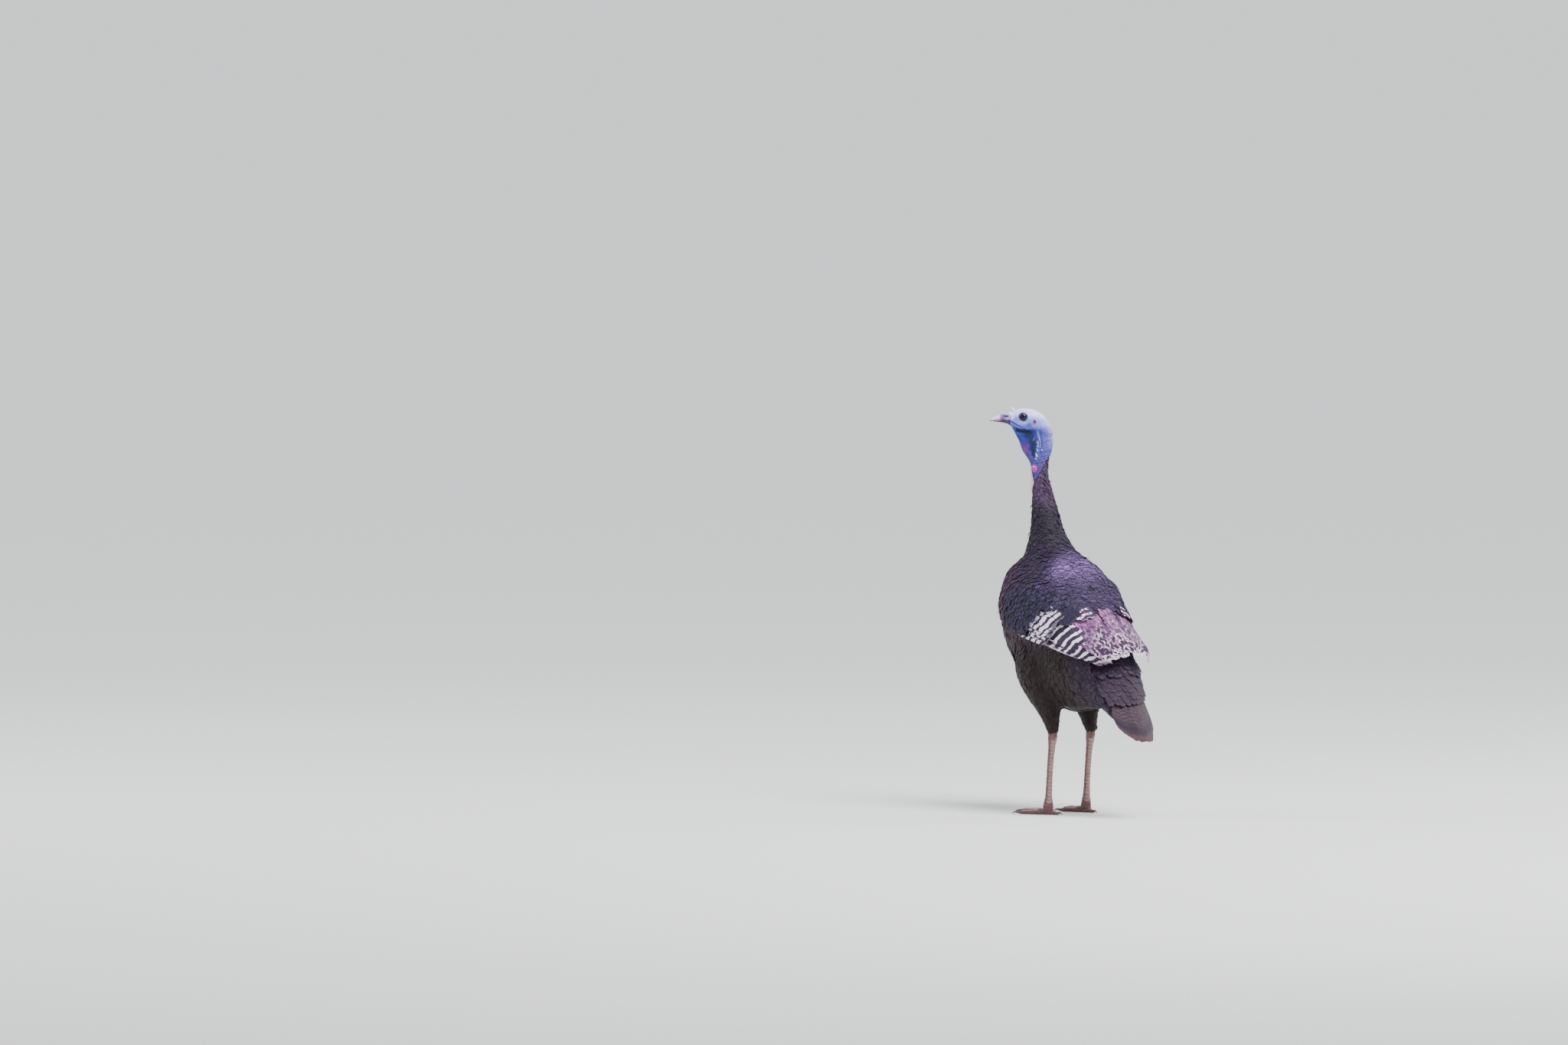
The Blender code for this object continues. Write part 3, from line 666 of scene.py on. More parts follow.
def barbLines(add, pitch):
    # slanting lines either side of the shaft, pitch in metres
    barb = layerPlaces(add, "barbs")
    lean = add("ABSOLUTE", barb[0])
    along = add("SUBTRACT", barb[1], add("MULTIPLY", lean, barbSlant))
    along = add("ADD", along, add("MULTIPLY", add("noise", 160.0), 0.0016))
    phase = add("MULTIPLY", along, 2 * math.pi / pitch)
    return add("MULTIPLY_ADD", add("SINE", phase), 0.5, 0.5), lean


def contourMaterial(name, look):
    # soft plumage: dark fluffy base, a band near the tip painted in the gloss colour as sheen over the
    # feathers' own iridescent band, and a thin edge
    material, add, surface = newMaterial(name)
    across, along = layerPlaces(add, "vane")[:2]
    side = add("ABSOLUTE", add("MULTIPLY_ADD", across, 2.0, -1.0))
    tint, rim, gloss = (add("attribute", attribute_name=key) for key in ("tint", "rim", "gloss"))
    barbs, lean = barbLines(add, look["pitch"])
    mottle = add("rise", add("noise", 900.0, 3.0), 0.35, 0.7)
    dark = add("tinted", tint, (0.32, 0.31, 0.30, 1))
    colour = add("blend", add("rise", along, 0.12, 0.5), dark, tint)
    streak = add("MULTIPLY_ADD", add("MULTIPLY", mottle, barbs), 0.6, 0.4)
    # the glossy band is painted sheen, laid into the base colour
    band = product(add, add("rise", along, *look["band"]), add("rise", along, look["edge"], 0.8),
                   add("rise", side, 1.0, 0.55), streak, look["glossShare"])
    colour = add("blend", band, colour, gloss)
    border = largest(add, add("rise", along, look["edge"], look["edge"] + 0.05),
                     product(add, add("rise", side, 0.86, 0.98), add("rise", along, 0.45, 0.7)))
    colour = add("blend", add("MULTIPLY", border, look["rimShare"]), colour, rim)
    shaft = add("MULTIPLY", add("rise", lean, 0.0007, 0.0003), add("rise", along, 0.98, 0.9))
    colour = add("blend", add("MULTIPLY", shaft, 0.5), colour, rim)
    shade = add("MULTIPLY_ADD", barbs, 0.3, 0.82)
    colour = add("tinted", colour, add("grey", shade, shade, shade))
    height = add("ADD", add("MULTIPLY", barbs, 0.5), add("MULTIPLY", shaft, 0.8))
    dress(surface, colour, (height, 0.0003, 0.8), **look["finish"])
    surface.id_data.links.new(add("blend", 0.5, gloss, "#ffffff"), surface.inputs["Specular Tint"])
    return material


def quillMaterial(name, look):
    # stiff wing and tail feathers: dark with pale bars, netting, edges and tips
    material, add, surface = newMaterial(name)
    across, along = layerPlaces(add, "vane")[:2]
    side = add("MULTIPLY_ADD", across, 2.0, -1.0)  # +1 on the outer edge
    barbs, lean = barbLines(add, look["pitch"])
    marks = layerPlaces(add, "marks")
    wobble = add("MULTIPLY_ADD", add("noise", look["wobbleScale"], 3.0), look["wobble"], -look["wobble"] / 2)
    slanted = add("ADD", add("MULTIPLY_ADD", marks[0], look["slant"], marks[1]), wobble)
    wave = add("SINE", add("MULTIPLY", slanted, 2 * math.pi / look["barPitch"]))
    bars = add("rise", wave, look["barLow"], look["barLow"] + look["barSoft"])
    if look["gap"]:  # the bars stop short of the outer edge
        bars = add("MULTIPLY", bars, add("MULTIPLY_ADD", add("rise", side, 0.45, 0.75), -look["gap"], 1.0))
    netting = add("rise", add("noise", 800.0, 4.0), 0.52, 0.62)
    dark = add("blend", add("noise", 60.0), look["dark"], look["darkToo"])
    pale = add("blend", add("noise", 90.0), look["pale"], look["paleToo"])
    share = largest(add, add("MULTIPLY", bars, look["bars"]), add("MULTIPLY", netting, look["netting"]))
    wide, long = look["edgeWidth"], look["tipWidth"]
    edge = add("MULTIPLY", add("rise", side, 1 - wide, 1 - wide * 0.5), look["edge"])
    inner = add("MULTIPLY", add("rise", side, -1 + wide, -1.0), look["edge"] * 0.6)
    tip = add("MULTIPLY", add("rise", along, 1 - long, 1 - long * 0.6), look["tip"])
    if look["oval"]:
        rounded = add("rise", add("ABSOLUTE", side), 0.85, 0.40)
        tip = product(add, tip, rounded, add("rise", along, 0.99, 0.95))
    beforeTip = add("MULTIPLY", add("rise", along, 1 - long * 2.6, 1 - long * 2.0), look["subTip"])
    share = add("MULTIPLY", share, add("SUBTRACT", 1.0, beforeTip))
    endQuill(add, surface, look, add("blend", largest(add, share, tip, edge, inner), dark, pale), barbs, lean)
    return material


def endQuill(add, surface, look, colour, barbs, lean):
    # the shaft, the fine barbs and the silky finish that all stiff feathers share
    shaft = add("rise", lean, 0.0011, 0.0006)
    colour = add("blend", add("MULTIPLY", shaft, 0.6), colour, look["shaft"])
    shade = add("MULTIPLY_ADD", barbs, 0.20, 0.88)
    colour = add("tinted", colour, add("grey", shade, shade, shade))
    finish = {key: look[key] for key in ("roughness", "specular", "sheen")}
    dress(surface, colour, (add("MULTIPLY_ADD", barbs, 0.5, shaft), 0.0004, 0.8), specularTint=look["gloss"],
          sheenTint=look["gloss"], **finish)


def spottedMaterial(name, look):
    # streaked mauve above; towards the tips dark round spots ringed with white
    material, add, surface = newMaterial(name)
    across, along = layerPlaces(add, "vane")[:2]
    side = add("MULTIPLY_ADD", across, 2.0, -1.0)
    barbs, lean = barbLines(add, look["pitch"])
    marks = add("uv", uv_map="marks")
    push = add("vector", add("push", 190.0, 3.0), (0.0045, 0.0045, 0.0), operation="MULTIPLY")
    where = add("vector", marks, push)
    spot = add("cells", 1 / look["spotPitch"], 0.75, where, voronoi_dimensions="2D")
    ring = product(add, add("rise", spot, 0.40, 0.48), add("rise", spot, 0.66, 0.52),
                   add("rise", add("noise", 210.0, 2.0), 0.36, 0.56))
    ground = add("blend", add("rise", add("noise", 520.0, 3.0), 0.40, 0.62), look["mauve"], look["pale"])
    spotted = add("blend", ring, ground, look["white"])
    spotted = add("blend", add("rise", spot, 0.46, 0.38), spotted, look["spot"])
    fine = add("noise", 620.0, 3.0, add("stretched", (1, 0.07, 1), where))
    streaked = add("blend", add("rise", fine, 0.42, 0.66), look["mauve"], look["streak"])
    streaked = add("blend", add("rise", add("noise", 130.0, 3.0), 0.50, 0.66), streaked, look["shadow"])
    low = add("MULTIPLY_ADD", add("noise", 110.0), 0.03, add("split", marks)[1])
    colour = add("blend", add("rise", low, *look["spotsFrom"]), streaked, spotted)
    edge = add("MULTIPLY", add("rise", side, 0.88, 0.94), add("rise", along, 0.40, 0.65))
    edge = largest(add, edge, add("rise", along, 0.960, 0.975))
    colour = add("blend", add("MULTIPLY", edge, look["edge"]), colour, look["white"])
    # painted shade on each feather's inner side, where the next feather lies over it
    under = add("MULTIPLY", add("rise", side, -0.55, -0.90), 0.45)
    endQuill(add, surface, look, add("blend", under, colour, look["shadow"]), barbs, lean)
    return material


def tintedMaterial(name, roughness):
    # one finish in each piece's own tint
    material, add, surface = newMaterial(name)
    dress(surface, add("attribute", attribute_name="tint"), roughness=roughness)
    return material


def addBarbs(obj, lean, along, marks=None):
    # metres across and along each feather, for the lines of its barbs and its bars
    loops = np.empty(len(obj.data.loops), np.int32)
    obj.data.loops.foreach_get("vertex_index", loops)
    for key, pair in (("barbs", (lean, along)), ("marks", marks)):
        if pair is not None:
            layer = obj.data.uv_layers.new(name=key)
            flat = np.stack([np.broadcast_to(p, lean.shape).ravel() for p in pair], -1)
            layer.data.foreach_set("uv", flat[loops].ravel())


def finishPiece(obj, material, slot, *replaced):
    obj.data.materials.append(material)
    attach(obj, "root")
    if replaced:
        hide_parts(*replaced)
    return obj


# the plumage's colours by place
def onWing(points):
    # each point's nearest place along and across a folded wing, and how far off it is
    along, across = np.meshgrid(np.linspace(0, 1, 90), np.linspace(0, 1, 34), indexing="ij")
    best = [np.zeros(len(points)), np.zeros(len(points)), np.full(len(points), 9.0)]
    for side in (1, -1):
        grid = wingPoint(along, across, 0.0, side).reshape(-1, 3)
        for k, point in enumerate(points):
            if point[0] * side < -0.02:
                continue
            gaps = ((grid - point) ** 2).sum(-1)
            near = gaps.argmin()
            if gaps[near] ** 0.5 < best[2][k]:
                best[0][k], best[1][k] = along.flat[near], across.flat[near]
                best[2][k] = gaps[near] ** 0.5
    return best


covertEnd = (  # across the wing: how far along it the small coverts reach
    (0.0, 0.70), (0.14, 0.67), (0.26, 0.58), (0.36, 0.44), (0.48, 0.375), (0.62, 0.34), (0.85, 0.325),
    (1.0, 0.30))


def onCoverts(points):
    # 1 over the folded wing's small coverts, 0 elsewhere
    along, across, gap = onWing(points)
    return ease(0.012, 0.006, gap) * ease(0.10, 0.20, along) * ease(0.10, 0.22, across)


plumage = {
    # main colour, rim and gloss of the feathers of each region; the gloss is painted into each feather's tip
    # band as sheen
    "nape": ("#2f2238", "#1d1424", "#5e4f70"),
    "neckTop": ("#412845", "#25162c", "#7a5a88"),
    # painted shade: the back of the upper neck is darker, where less light falls
    "neckBackShade": ("#271829", "#160e1a", "#4c3758"),
    "neck": ("#1b151f", "#120e16", "#3c3049"),
    "mantle": ("#422d56", "#281a36", "#9d82bd"),
    "shoulder": ("#1f1726", "#130e18", "#443653"),
    "scapular": ("#251a30", "#130d1a", "#5d4c78"),
    "breast": ("#321a2a", "#170c15", "#784a66"),
    "magenta": ("#3b2342", "#1d1023", "#8a5a92"),
    "belly": ("#1b1312", "#0c0909", "#40302d"),
    "rump": ("#221824", "#100b12", "#5d4a6c"),
    "covert": ("#1a1520", "#2a2440", "#484060"),
}


def plumageColours(tips, only=None):
    # each feather's main colour, rim and gloss by where its tip lies
    ahead, up = footY - tips[:, 1], tips[:, 2]
    behind = ahead - np.interp(up, (0.36, 0.40, 0.45, 0.50, 0.53), (-0.028, 0.002, 0.027, 0.049, 0.057))
    shares = {
        "breast": np.ones(len(tips)),
        "shoulder": ease(0.045, 0.010, behind) * ease(0.37, 0.41, up),
        "mantle": ease(-0.034, -0.070, behind) * ease(0.39, 0.44, up),
        "scapular": ease(-0.005, -0.040, behind) * ease(0.440, 0.405, up) * ease(0.34, 0.36, up),
        "rump": ease(0.05, -0.03, ahead) * ease(0.40, 0.30, up),
        "belly": ease(0.345, 0.275, up) * ease(-0.13, -0.08, ahead),
        "covert": onCoverts(tips),
        "neck": ease(0.462, 0.500, up),
        "neckTop": ease(0.535, 0.590, up),
        # painted shade on the back of the upper neck
        "neckBackShade": 0.85 * ease(0.012, -0.006, headPlace(tips)[:, 0]) * ease(0.545, 0.580, up),
        "nape": ease(0.604, 0.618, up),
    }
    patch = bell(ahead, 0.080, 0.040) * bell(up, 0.425, 0.030)
    shares["magenta"] = 0.80 * patch * bell(np.abs(tips[:, 0]), 0.055, 0.035)
    if only:
        shares = {only: np.ones(len(tips))}
    found = {}
    if not only:
        strokes = 0.65 * shares["covert"] * ease(0.50, 0.95, chance.uniform(0, 1, len(tips)))
    tone = chance.normal(0, 0.18, (len(tips), 1)) + chance.normal(0, 0.03, (len(tips), 3))
    for k, key in enumerate(("tint", "rim", "gloss")):
        own = tone + chance.normal(0, (0.0, 0.38, 0.10)[k], (len(tips), 1))
        colour = np.zeros((len(tips), 3))
        for region, share in shares.items():
            colour = mixed(colour, linear(plumage[region][k]), share)
        if key == "gloss" and not only:  # some covert feathers shine blue
            # painted sheen: a blue gloss colour on some covert feathers
            colour = mixed(colour, linear("#615da6"), strokes)
        found[key] = (colour * np.exp(own))[:, None, None, :]
    return found


def napeBorder(up):
    # how far ahead the nape's feathers reach at each height
    return np.interp(up, (0.601, 0.625, 0.648), (0.016, 0.002, -0.012))


feather = {
    "rows": 7, "columns": 7,  # its grid
    "twist": 0.17,      # how far single feathers turn out of the lie
    "loose": 0.60,      # uneven lift of the tips
    "sink": 0.0018,     # depth of the roots
    "tip": 0.0005,      # height of the tips
    "bow": 0.0003,      # how far the edges curl under
    "jitter": 0.00015,
    "ripple": 0.00008,
    "fray": 0.13,       # unevenness of the tips
    "overlap": 3.2,     # length over the exposed part
    "width": 0.80,      # half width over the spacing
}
nearAlong, nearAcross, wingGap = onWing(roots)
reachAlong = smoothRows(covertEnd, nearAcross)[0]
covered = (wingGap < 0.010) & (nearAlong > reachAlong - 0.02) & (nearAcross > 0.03) & (nearAcross < 0.95)
keep = ~covered
keep &= (roots[:, 2] < 0.601) | (headPlace(roots)[:, 0] < napeBorder(roots[:, 2]))
keep &= (rootGroups != groupNames.index("thigh")) | (roots[:, 2] >= 0.215)  # the drumsticks have their own
ahead, up = footY - roots[:, 1], roots[:, 2]
regions = {
    "napeFeathers": (up > 0.6005, "neck_feather"),
    "neckFeathers": ((up > 0.470) & (up <= 0.6005), "neck_feather"),
    "breastFeathers": ((up <= 0.470) & (ahead > 0.045), "body_feather"),
    "backFeathers": ((up <= 0.470) & (ahead <= 0.045) & (up > 0.285), "body_feather"),
    "bellyFeathers": ((up <= 0.285) & (ahead <= 0.045), "body_feather"),
}
softPlumage = contourMaterial("softGlossyPlumage", {  # close glossy body feathers with a violet bloom
    "pitch": 0.0009, "band": (0.34, 0.62), "edge": 0.94, "glossShare": 0.56, "rimShare": 0.25,
    "finish": dict(roughness=0.50, specular=0.32, sheen=0.06, sheenRoughness=0.45, sheenTint="#a79bc4"),
})
looseBarbs = tintedMaterial("looseBarbs", 0.6)  # fine dull barb ends that soften every edge
print("kept", int(keep.sum()), "of", len(roots))
for name, (mask, slot) in regions.items():
    chosen = keep & mask
    lengths = np.clip(exposed[chosen] * feather["overlap"], 0.0080, 0.036)
    widths = np.interp(downLine[chosen], *np.array(bodyLine["spacing"]).T[[0, 2]]) * feather["width"]
    settings = dict(feather)
    if name == "neckFeathers":
        settings.update(sink=0.0016, tip=0.0006, bow=0.0002)
        upNeck = ease(0.47, 0.52, roots[chosen][:, 2])
        lengths = lengths * (1 + 0.18 * upNeck)
        widths = widths * (1 - 0.10 * upNeck)
    if name == "napeFeathers":
        rising = ease(0.600, 0.607, roots[chosen][:, 2])[:, None, None]
        settings.update(sink=0.0014 - 0.0020 * rising, tip=0.0006 + 0.0008 * rising, bow=0.0003, twist=0.25)
        lengths = lengths * 0.8
        widths = widths * 0.75
    piece, fringe = layContour(name, roots[chosen], flows[chosen], lengths, widths, plumageColours, settings)
    finishPiece(piece, softPlumage, slot)
    finishPiece(fringe, looseBarbs, slot)


# the drumsticks' short feathers
drumstick = {
    # height, radius, ahead of the feet, out from the middle
    "line": (
        (0.150, 0.0108, -0.0225, 0.044), (0.160, 0.0124, -0.0195, 0.044), (0.173, 0.0155, -0.0160, 0.044),
        (0.187, 0.0205, -0.0110, 0.045), (0.205, 0.0270, -0.0030, 0.046), (0.228, 0.0350, 0.0040, 0.048),
        (0.258, 0.0410, 0.0090, 0.051),
    ),
    "top": 0.244, "bottom": 0.1535, "rowGap": 0.0054, "gap": 0.0084, "length": 0.0160, "halfWidth": 0.0062,
}
for label, side in (("left", 1), ("right", -1)):
    legRoots, legFlows = [], []
    for k, height in enumerate(np.arange(drumstick["top"], drumstick["bottom"], -drumstick["rowGap"])):
        radius, forward, out = (float(v) for v in smoothRows(drumstick["line"], np.array(height)))
        count = max(10, int(2 * math.pi * radius / drumstick["gap"]))
        for turn in (np.arange(count) + 0.5 * (k % 2)) * 2 * math.pi / count:
            around = (side * out + radius * math.cos(turn), footY - forward + radius * math.sin(turn), height)
            legRoots.append(around)
            legFlows.append((0, 0.25, -1))
    legRoots, legFlows = np.array(legRoots), np.array(legFlows, float)
    shrink = np.interp(legRoots[:, 2], (0.150, 0.185), (0.62, 1.0))
    piece, fringe = layContour(
        "thighFeathers" + label.title(), legRoots, legFlows, drumstick["length"] * shrink,
        drumstick["halfWidth"] * shrink, lambda tips: plumageColours(tips, "belly"), feather)
    finishPiece(piece, softPlumage, "body_feather")
    finishPiece(fringe, looseBarbs, "body_feather")


# folded wings
quillBase = {
    "pitch": 0.0013, "dark": "#2a1c34", "darkToo": "#150f1e", "pale": "#fbf3ff", "paleToo": "#e2cdea",
    "barPitch": 0.0186, "barLow": -0.02, "barSoft": 0.34, "slant": 0.62, "wobble": 0.0105,
    "wobbleScale": 120.0, "bars": 0.95, "netting": 0.06, "edgeWidth": 0.10, "edge": 0.15, "tipWidth": 0.05,
    "tip": 0.6, "subTip": 0.4, "oval": False, "gap": 0.0, "shaft": "#3a2c36", "gloss": "#b9a9cf",
    "roughness": 0.45, "specular": 0.40, "sheen": 0.05,
}
spottedBase = dict(
    quillBase, mauve="#673562", pale="#ad73a8", white="#fff0fc", spot="#241029", streak="#b684b6",
    shadow="#341c3a", spotPitch=0.0098, spotsFrom=(0.252, 0.284), edge=0.50)
streakedLook = dict(spottedBase, spotsFrom=(0.274, 0.306), streak="#a87aae", edge=0.25)
barredLooks = {
    # how each row of barred wing feathers differs from the base; the outermost has a pale leading edge
    "barredPrimaries": dict(barLow=0.16, wobble=0.0180, wobbleScale=62.0, tip=0.2, edge=0.0),
    "paleEdgedPrimary": dict(edge=0.95, edgeWidth=0.55, pale="#ecd3e6"),
    "barredPrimaryCoverts": dict(
        barPitch=0.0132, barLow=-0.48, barSoft=0.45, wobble=0.0120, wobbleScale=110.0, edge=0.0, gap=0.85,
        tip=0.0, tipWidth=0.045, subTip=0.85),
    "whiteTippedCoverts": dict(
        barPitch=0.0115, barLow=0.30, wobble=0.0060, tipWidth=0.30, tip=0.85, oval=True, subTip=0.8,
        pale="#efe4fb", paleToo="#a893c0", edge=0.0),
    "slateGreaterCoverts": dict(
        dark="#1a1722", darkToo="#272336", pale="#5f5878", paleToo="#463f5c", barPitch=0.0110, barLow=0.55,
        netting=0.35, bars=0.22, edge=0.55, edgeWidth=0.08, tipWidth=0.05, tip=0.60, subTip=0.3,
        gloss="#6f6b90", specular=0.2, roughness=0.6),
    "barredGreaterCoverts": dict(
        dark="#2c1c36", darkToo="#1c1226", pale="#fbeaff", paleToo="#d9b9e2", barPitch=0.0128, barLow=0.10,
        barSoft=0.40, wobble=0.0095, wobbleScale=120.0, tipWidth=0.05, tip=0.2, edge=0.0, gap=0.9),
}
wingLooks = {name: quillMaterial(name, dict(quillBase, **look)) for name, look in barredLooks.items()}
wingLooks["spottedSecondaries"] = spottedMaterial("spottedSecondaries", spottedBase)
wingLooks["streakedTertials"] = spottedMaterial("streakedTertials", streakedLook)
primaryShape = {
    "round": 0.20, "roundPower": 2.0, "outer": 0.55, "bow": 0.02, "spacing": 1.0, "barsMatch": True,
    "barJitter": 0.0007, "width": ((0, 0.35), (0.2, 0.85), (0.6, 1.0), (0.85, 0.86), (0.95, 0.62), (1, 0.40)),
}
broadShape = {
    "round": 0.10, "roundPower": 3.0, "outer": 0.85, "bow": 0.03, "spacing": 1.0, "barJitter": 0.003,
    "width": ((0, 0.45), (0.25, 0.95), (0.7, 1.0), (0.9, 0.95), (1, 0.66)),
}


def rowOfGuides(count, first, last):
    # guides running evenly from the first to the last
    share = np.linspace(0, 1, count)[:, None]
    return np.array(first) * (1 - share) + np.array(last) * share


def shingled(base, step, climb):
    # each feather lies a little over the one before it, its tip a little out and its root tucked in
    return lambda number, along, reach: base + step * number + climb * reach - 0.0090 * (1 - reach) ** 4


barredShape = dict(broadShape, barsMatch=True, barJitter=0.0010)
innerShape = dict(barredShape, width=((0, 0.85), (0.25, 1.0), (0.7, 1.0), (0.9, 0.95), (1, 0.66)))
looseBarred = dict(barredShape, barJitter=0.0026)
mottledShape = dict(broadShape, barJitter=0.006)
wingRows = {
    # look, shape, how many, and how they lie over one another; then the guides of the lowest and the
    # highest feather: start along and across the wing, end along and across it, half width
    "OuterPrimary": (
        "paleEdgedPrimary", primaryShape, 1, (-0.0030, 0.0, 0.0006),
        (0.34, 0.975, 0.87, 0.955, 0.0095), (0.34, 0.975, 0.87, 0.955, 0.0095)),
    "Primaries": (
        "barredPrimaries", primaryShape, 8, (-0.0028, 0.00024, 0.0008),
        (0.37, 0.930, 0.91, 0.925, 0.0105), (0.43, 0.56, 0.97, 0.60, 0.0135)),
    "PrimaryCoverts": (
        "barredPrimaryCoverts", looseBarred, 8, (-0.0026, 0.0002, 0.0032),
        (0.22, 0.965, 0.480, 0.985, 0.0088), (0.265, 0.40, 0.520, 0.46, 0.0100)),
    "Secondaries": (
        "spottedSecondaries", innerShape, 8, (-0.0018, 0.00030, 0.0018),
        (0.50, 0.58, 0.93, 0.62, 0.0160), (0.70, 0.03, 0.985, 0.03, 0.0180)),
    "Tertials": (
        "streakedTertials", innerShape, 5, (-0.0010, 0.0003, 0.0030),
        (0.66, 0.18, 0.955, 0.17, 0.0135), (0.745, -0.12, 0.98, -0.08, 0.0150)),
    "GreaterCoverts": (
        "slateGreaterCoverts", mottledShape, 8, (-0.0012, 0.0001, 0.0030),
        (0.42, 0.53, 0.575, 0.545, 0.0056), (0.45, 0.27, 0.610, 0.290, 0.0062)),
    "UpperCoverts": (
        "barredGreaterCoverts", barredShape, 4, (-0.0006, 0.0002, 0.0032),
        (0.50, 0.31, 0.650, 0.33, 0.0072), (0.545, 0.16, 0.690, 0.18, 0.0080)),
    "EdgeCoverts": (
        "whiteTippedCoverts", barredShape, 8, (-0.0008, 0.0001, 0.0028),
        (0.225, 0.90, 0.305, 0.92, 0.0052), (0.355, 0.34, 0.435, 0.36, 0.0058)),
}
for label, side in (("left", 1), ("right", -1)):
    for row, (look, shape, count, lift, lowest, highest) in wingRows.items():
        guides = rowOfGuides(count, lowest, highest)
        guides[:, 2] += chance.normal(0, 0.006, count)
        if row == "EdgeCoverts":
            guides[:, :4] += chance.normal(0, 0.007, (count, 4)) + chance.normal(0, 0.010, (count, 1))
        replaced = ["wing_%s_%s" % (label, row.lower())] if row in ("Primaries", "Secondaries") else []
        coverts = "Coverts" in row
        piece = layQuills(label + row, side, guides, shape, 14 if coverts else 26, 9, shingled(*lift))
        finishPiece(piece, wingLooks[look], "wing_covert" if coverts else "flight_feather", *replaced)


# the tail
tail = {
    "rootBack": 0.146, "rootUp": 0.300, "pitch": math.radians(60),
    "start": 0.010, "length": 0.173, "roof": 0.016,
    "rectrices": 18, "halfWidth": 0.0125, "spreadRoot": 0.020, "spreadTip": 0.0350,
}
tailDown = np.array((0, math.cos(tail["pitch"]), -math.sin(tail["pitch"])))
tailTop = np.array((0, math.sin(tail["pitch"]), math.cos(tail["pitch"])))
tailRoot = np.array((0, footY + tail["rootBack"], tail["rootUp"]))


def layTail(name, guides, shape, rows, columns):
    # guides: side at root, side at tip, start, length, height over the tail's top, half width
    guides = np.array(guides, float)
    along, lateral, reach, width = spread(shape, rows, columns)
    rootSide, tipSide, start, length, height, half = (guides[:, k, None, None] for k in range(6))
    lean = (lateral * width)[None] * half
    side = rootSide + (tipSide - rootSide) * reach[None] + lean
    down = start + length * reach[None]
    arch = tail["roof"] * np.abs(side / 0.047) ** 1.6
    drop = arch - height * (0.3 + 0.7 * reach[None]) + shape["bow"] * lean**2 / 0.01
    points = tailRoot + tailDown * down[..., None] - tailTop * drop[..., None]
    points = points + np.array((1.0, 0, 0)) * side[..., None]
    uv = (lateral + 1) / 2
    outward = np.broadcast_to(tailTop * (-1 if "Under" in name else 1), (len(guides), 3))
    made = vaneObject(name, points, outward, uv, along, {}, islandPatches(len(guides), uv, along))
    jitter = chance.normal(0, 0.0012, (len(guides), 1, 1))
    marks = (lateral[None] * 0.01 * np.sign(rootSide + 1e-9), down + jitter)
    addBarbs(made, lean, along[None] * length, marks)
    print(name, len(guides), "feathers")
    return made


tailShape = {
    "round": 0.10, "roundPower": 2.6, "bow": 0.05, "spacing": 1.0,
    "width": ((0, 0.30), (0.25, 0.70), (0.65, 0.96), (0.88, 1.0), (1, 0.80)),
}
numbers = np.arange(tail["rectrices"]) - (tail["rectrices"] - 1) / 2
order = np.argsort(-np.abs(numbers))
guides = []
for number in numbers[order]:
    part = number / (tail["rectrices"] / 2)
    guides.append((part * tail["spreadRoot"], part * tail["spreadTip"], tail["start"],
                   tail["length"] * (1 - 0.20 * abs(part) ** 2.2) + chance.normal(0, 0.0012),
                   -0.0006 * abs(number) + (0.0003 if number > 0 else 0), tail["halfWidth"]))
tailLook = quillMaterial("barredTail", dict(
    quillBase, dark="#2b2226", darkToo="#1e181e", pale="#62483f", paleToo="#4c3b3c", barPitch=0.0072,
    barLow=0.25, wobble=0.0075, wobbleScale=260.0, netting=0.35, bars=0.48, edge=0.0, tipWidth=0.07, tip=0.55,
    subTip=0.95, gloss="#a595bd", specular=0.5, sheen=0.08, roughness=0.42))
finishPiece(layTail("tailFeathers", guides, tailShape, 26, 9), tailLook, "tail_feather", "tail_feathers")
tailCovert = {
    # each row's reach and its height over the tail, from the lowest row up
    "rows": ((0.122, 0.0046), (0.108, 0.0056), (0.094, 0.0066), (0.080, 0.0076), (0.066, 0.0086),
             (0.052, 0.0094)),
    "perRow": 10, "halfWidth": 0.0094,
}
coverGuides = {"Upper": [], "Under": []}
for row, (reach, height) in enumerate(tailCovert["rows"]):
    for number in np.arange(tailCovert["perRow"]) - (tailCovert["perRow"] - 1) / 2 + 0.5 * (row % 2):
        part = number / (tailCovert["perRow"] / 2)
        length = (reach * (1 - 0.12 * part**2)) * math.exp(chance.normal(0, 0.05))
        coverGuides["Upper"].append((part * 0.034, part * 0.045 + chance.normal(0, 0.0015), -0.012, length,
                                     height - 0.0005 * abs(number), tailCovert["halfWidth"]))
        coverGuides["Under"].append((part * 0.024, part * 0.030 + chance.normal(0, 0.0015), 0.000, length,
                                     -0.018 - 0.0034 * row + 0.0004 * abs(number),
                                     tailCovert["halfWidth"]))
coverLook = quillMaterial("barredTailCoverts", dict(
    quillBase, dark="#231b24", darkToo="#1a141c", pale="#5a4350", paleToo="#4a3a3a", barPitch=0.0085,
    barLow=0.50, wobble=0.0070, netting=0.20, bars=0.28, edge=0.25, edgeWidth=0.07, tipWidth=0.04, tip=0.30,
    subTip=0.5, gloss="#a595bd", specular=0.45, sheen=0.06))
for key, guides in coverGuides.items():
    piece = layTail("tailCoverts" + key, guides, tailShape, 18, 7)
    finishPiece(piece, coverLook, "tail_feather", "tail_coverts_" + key.lower())


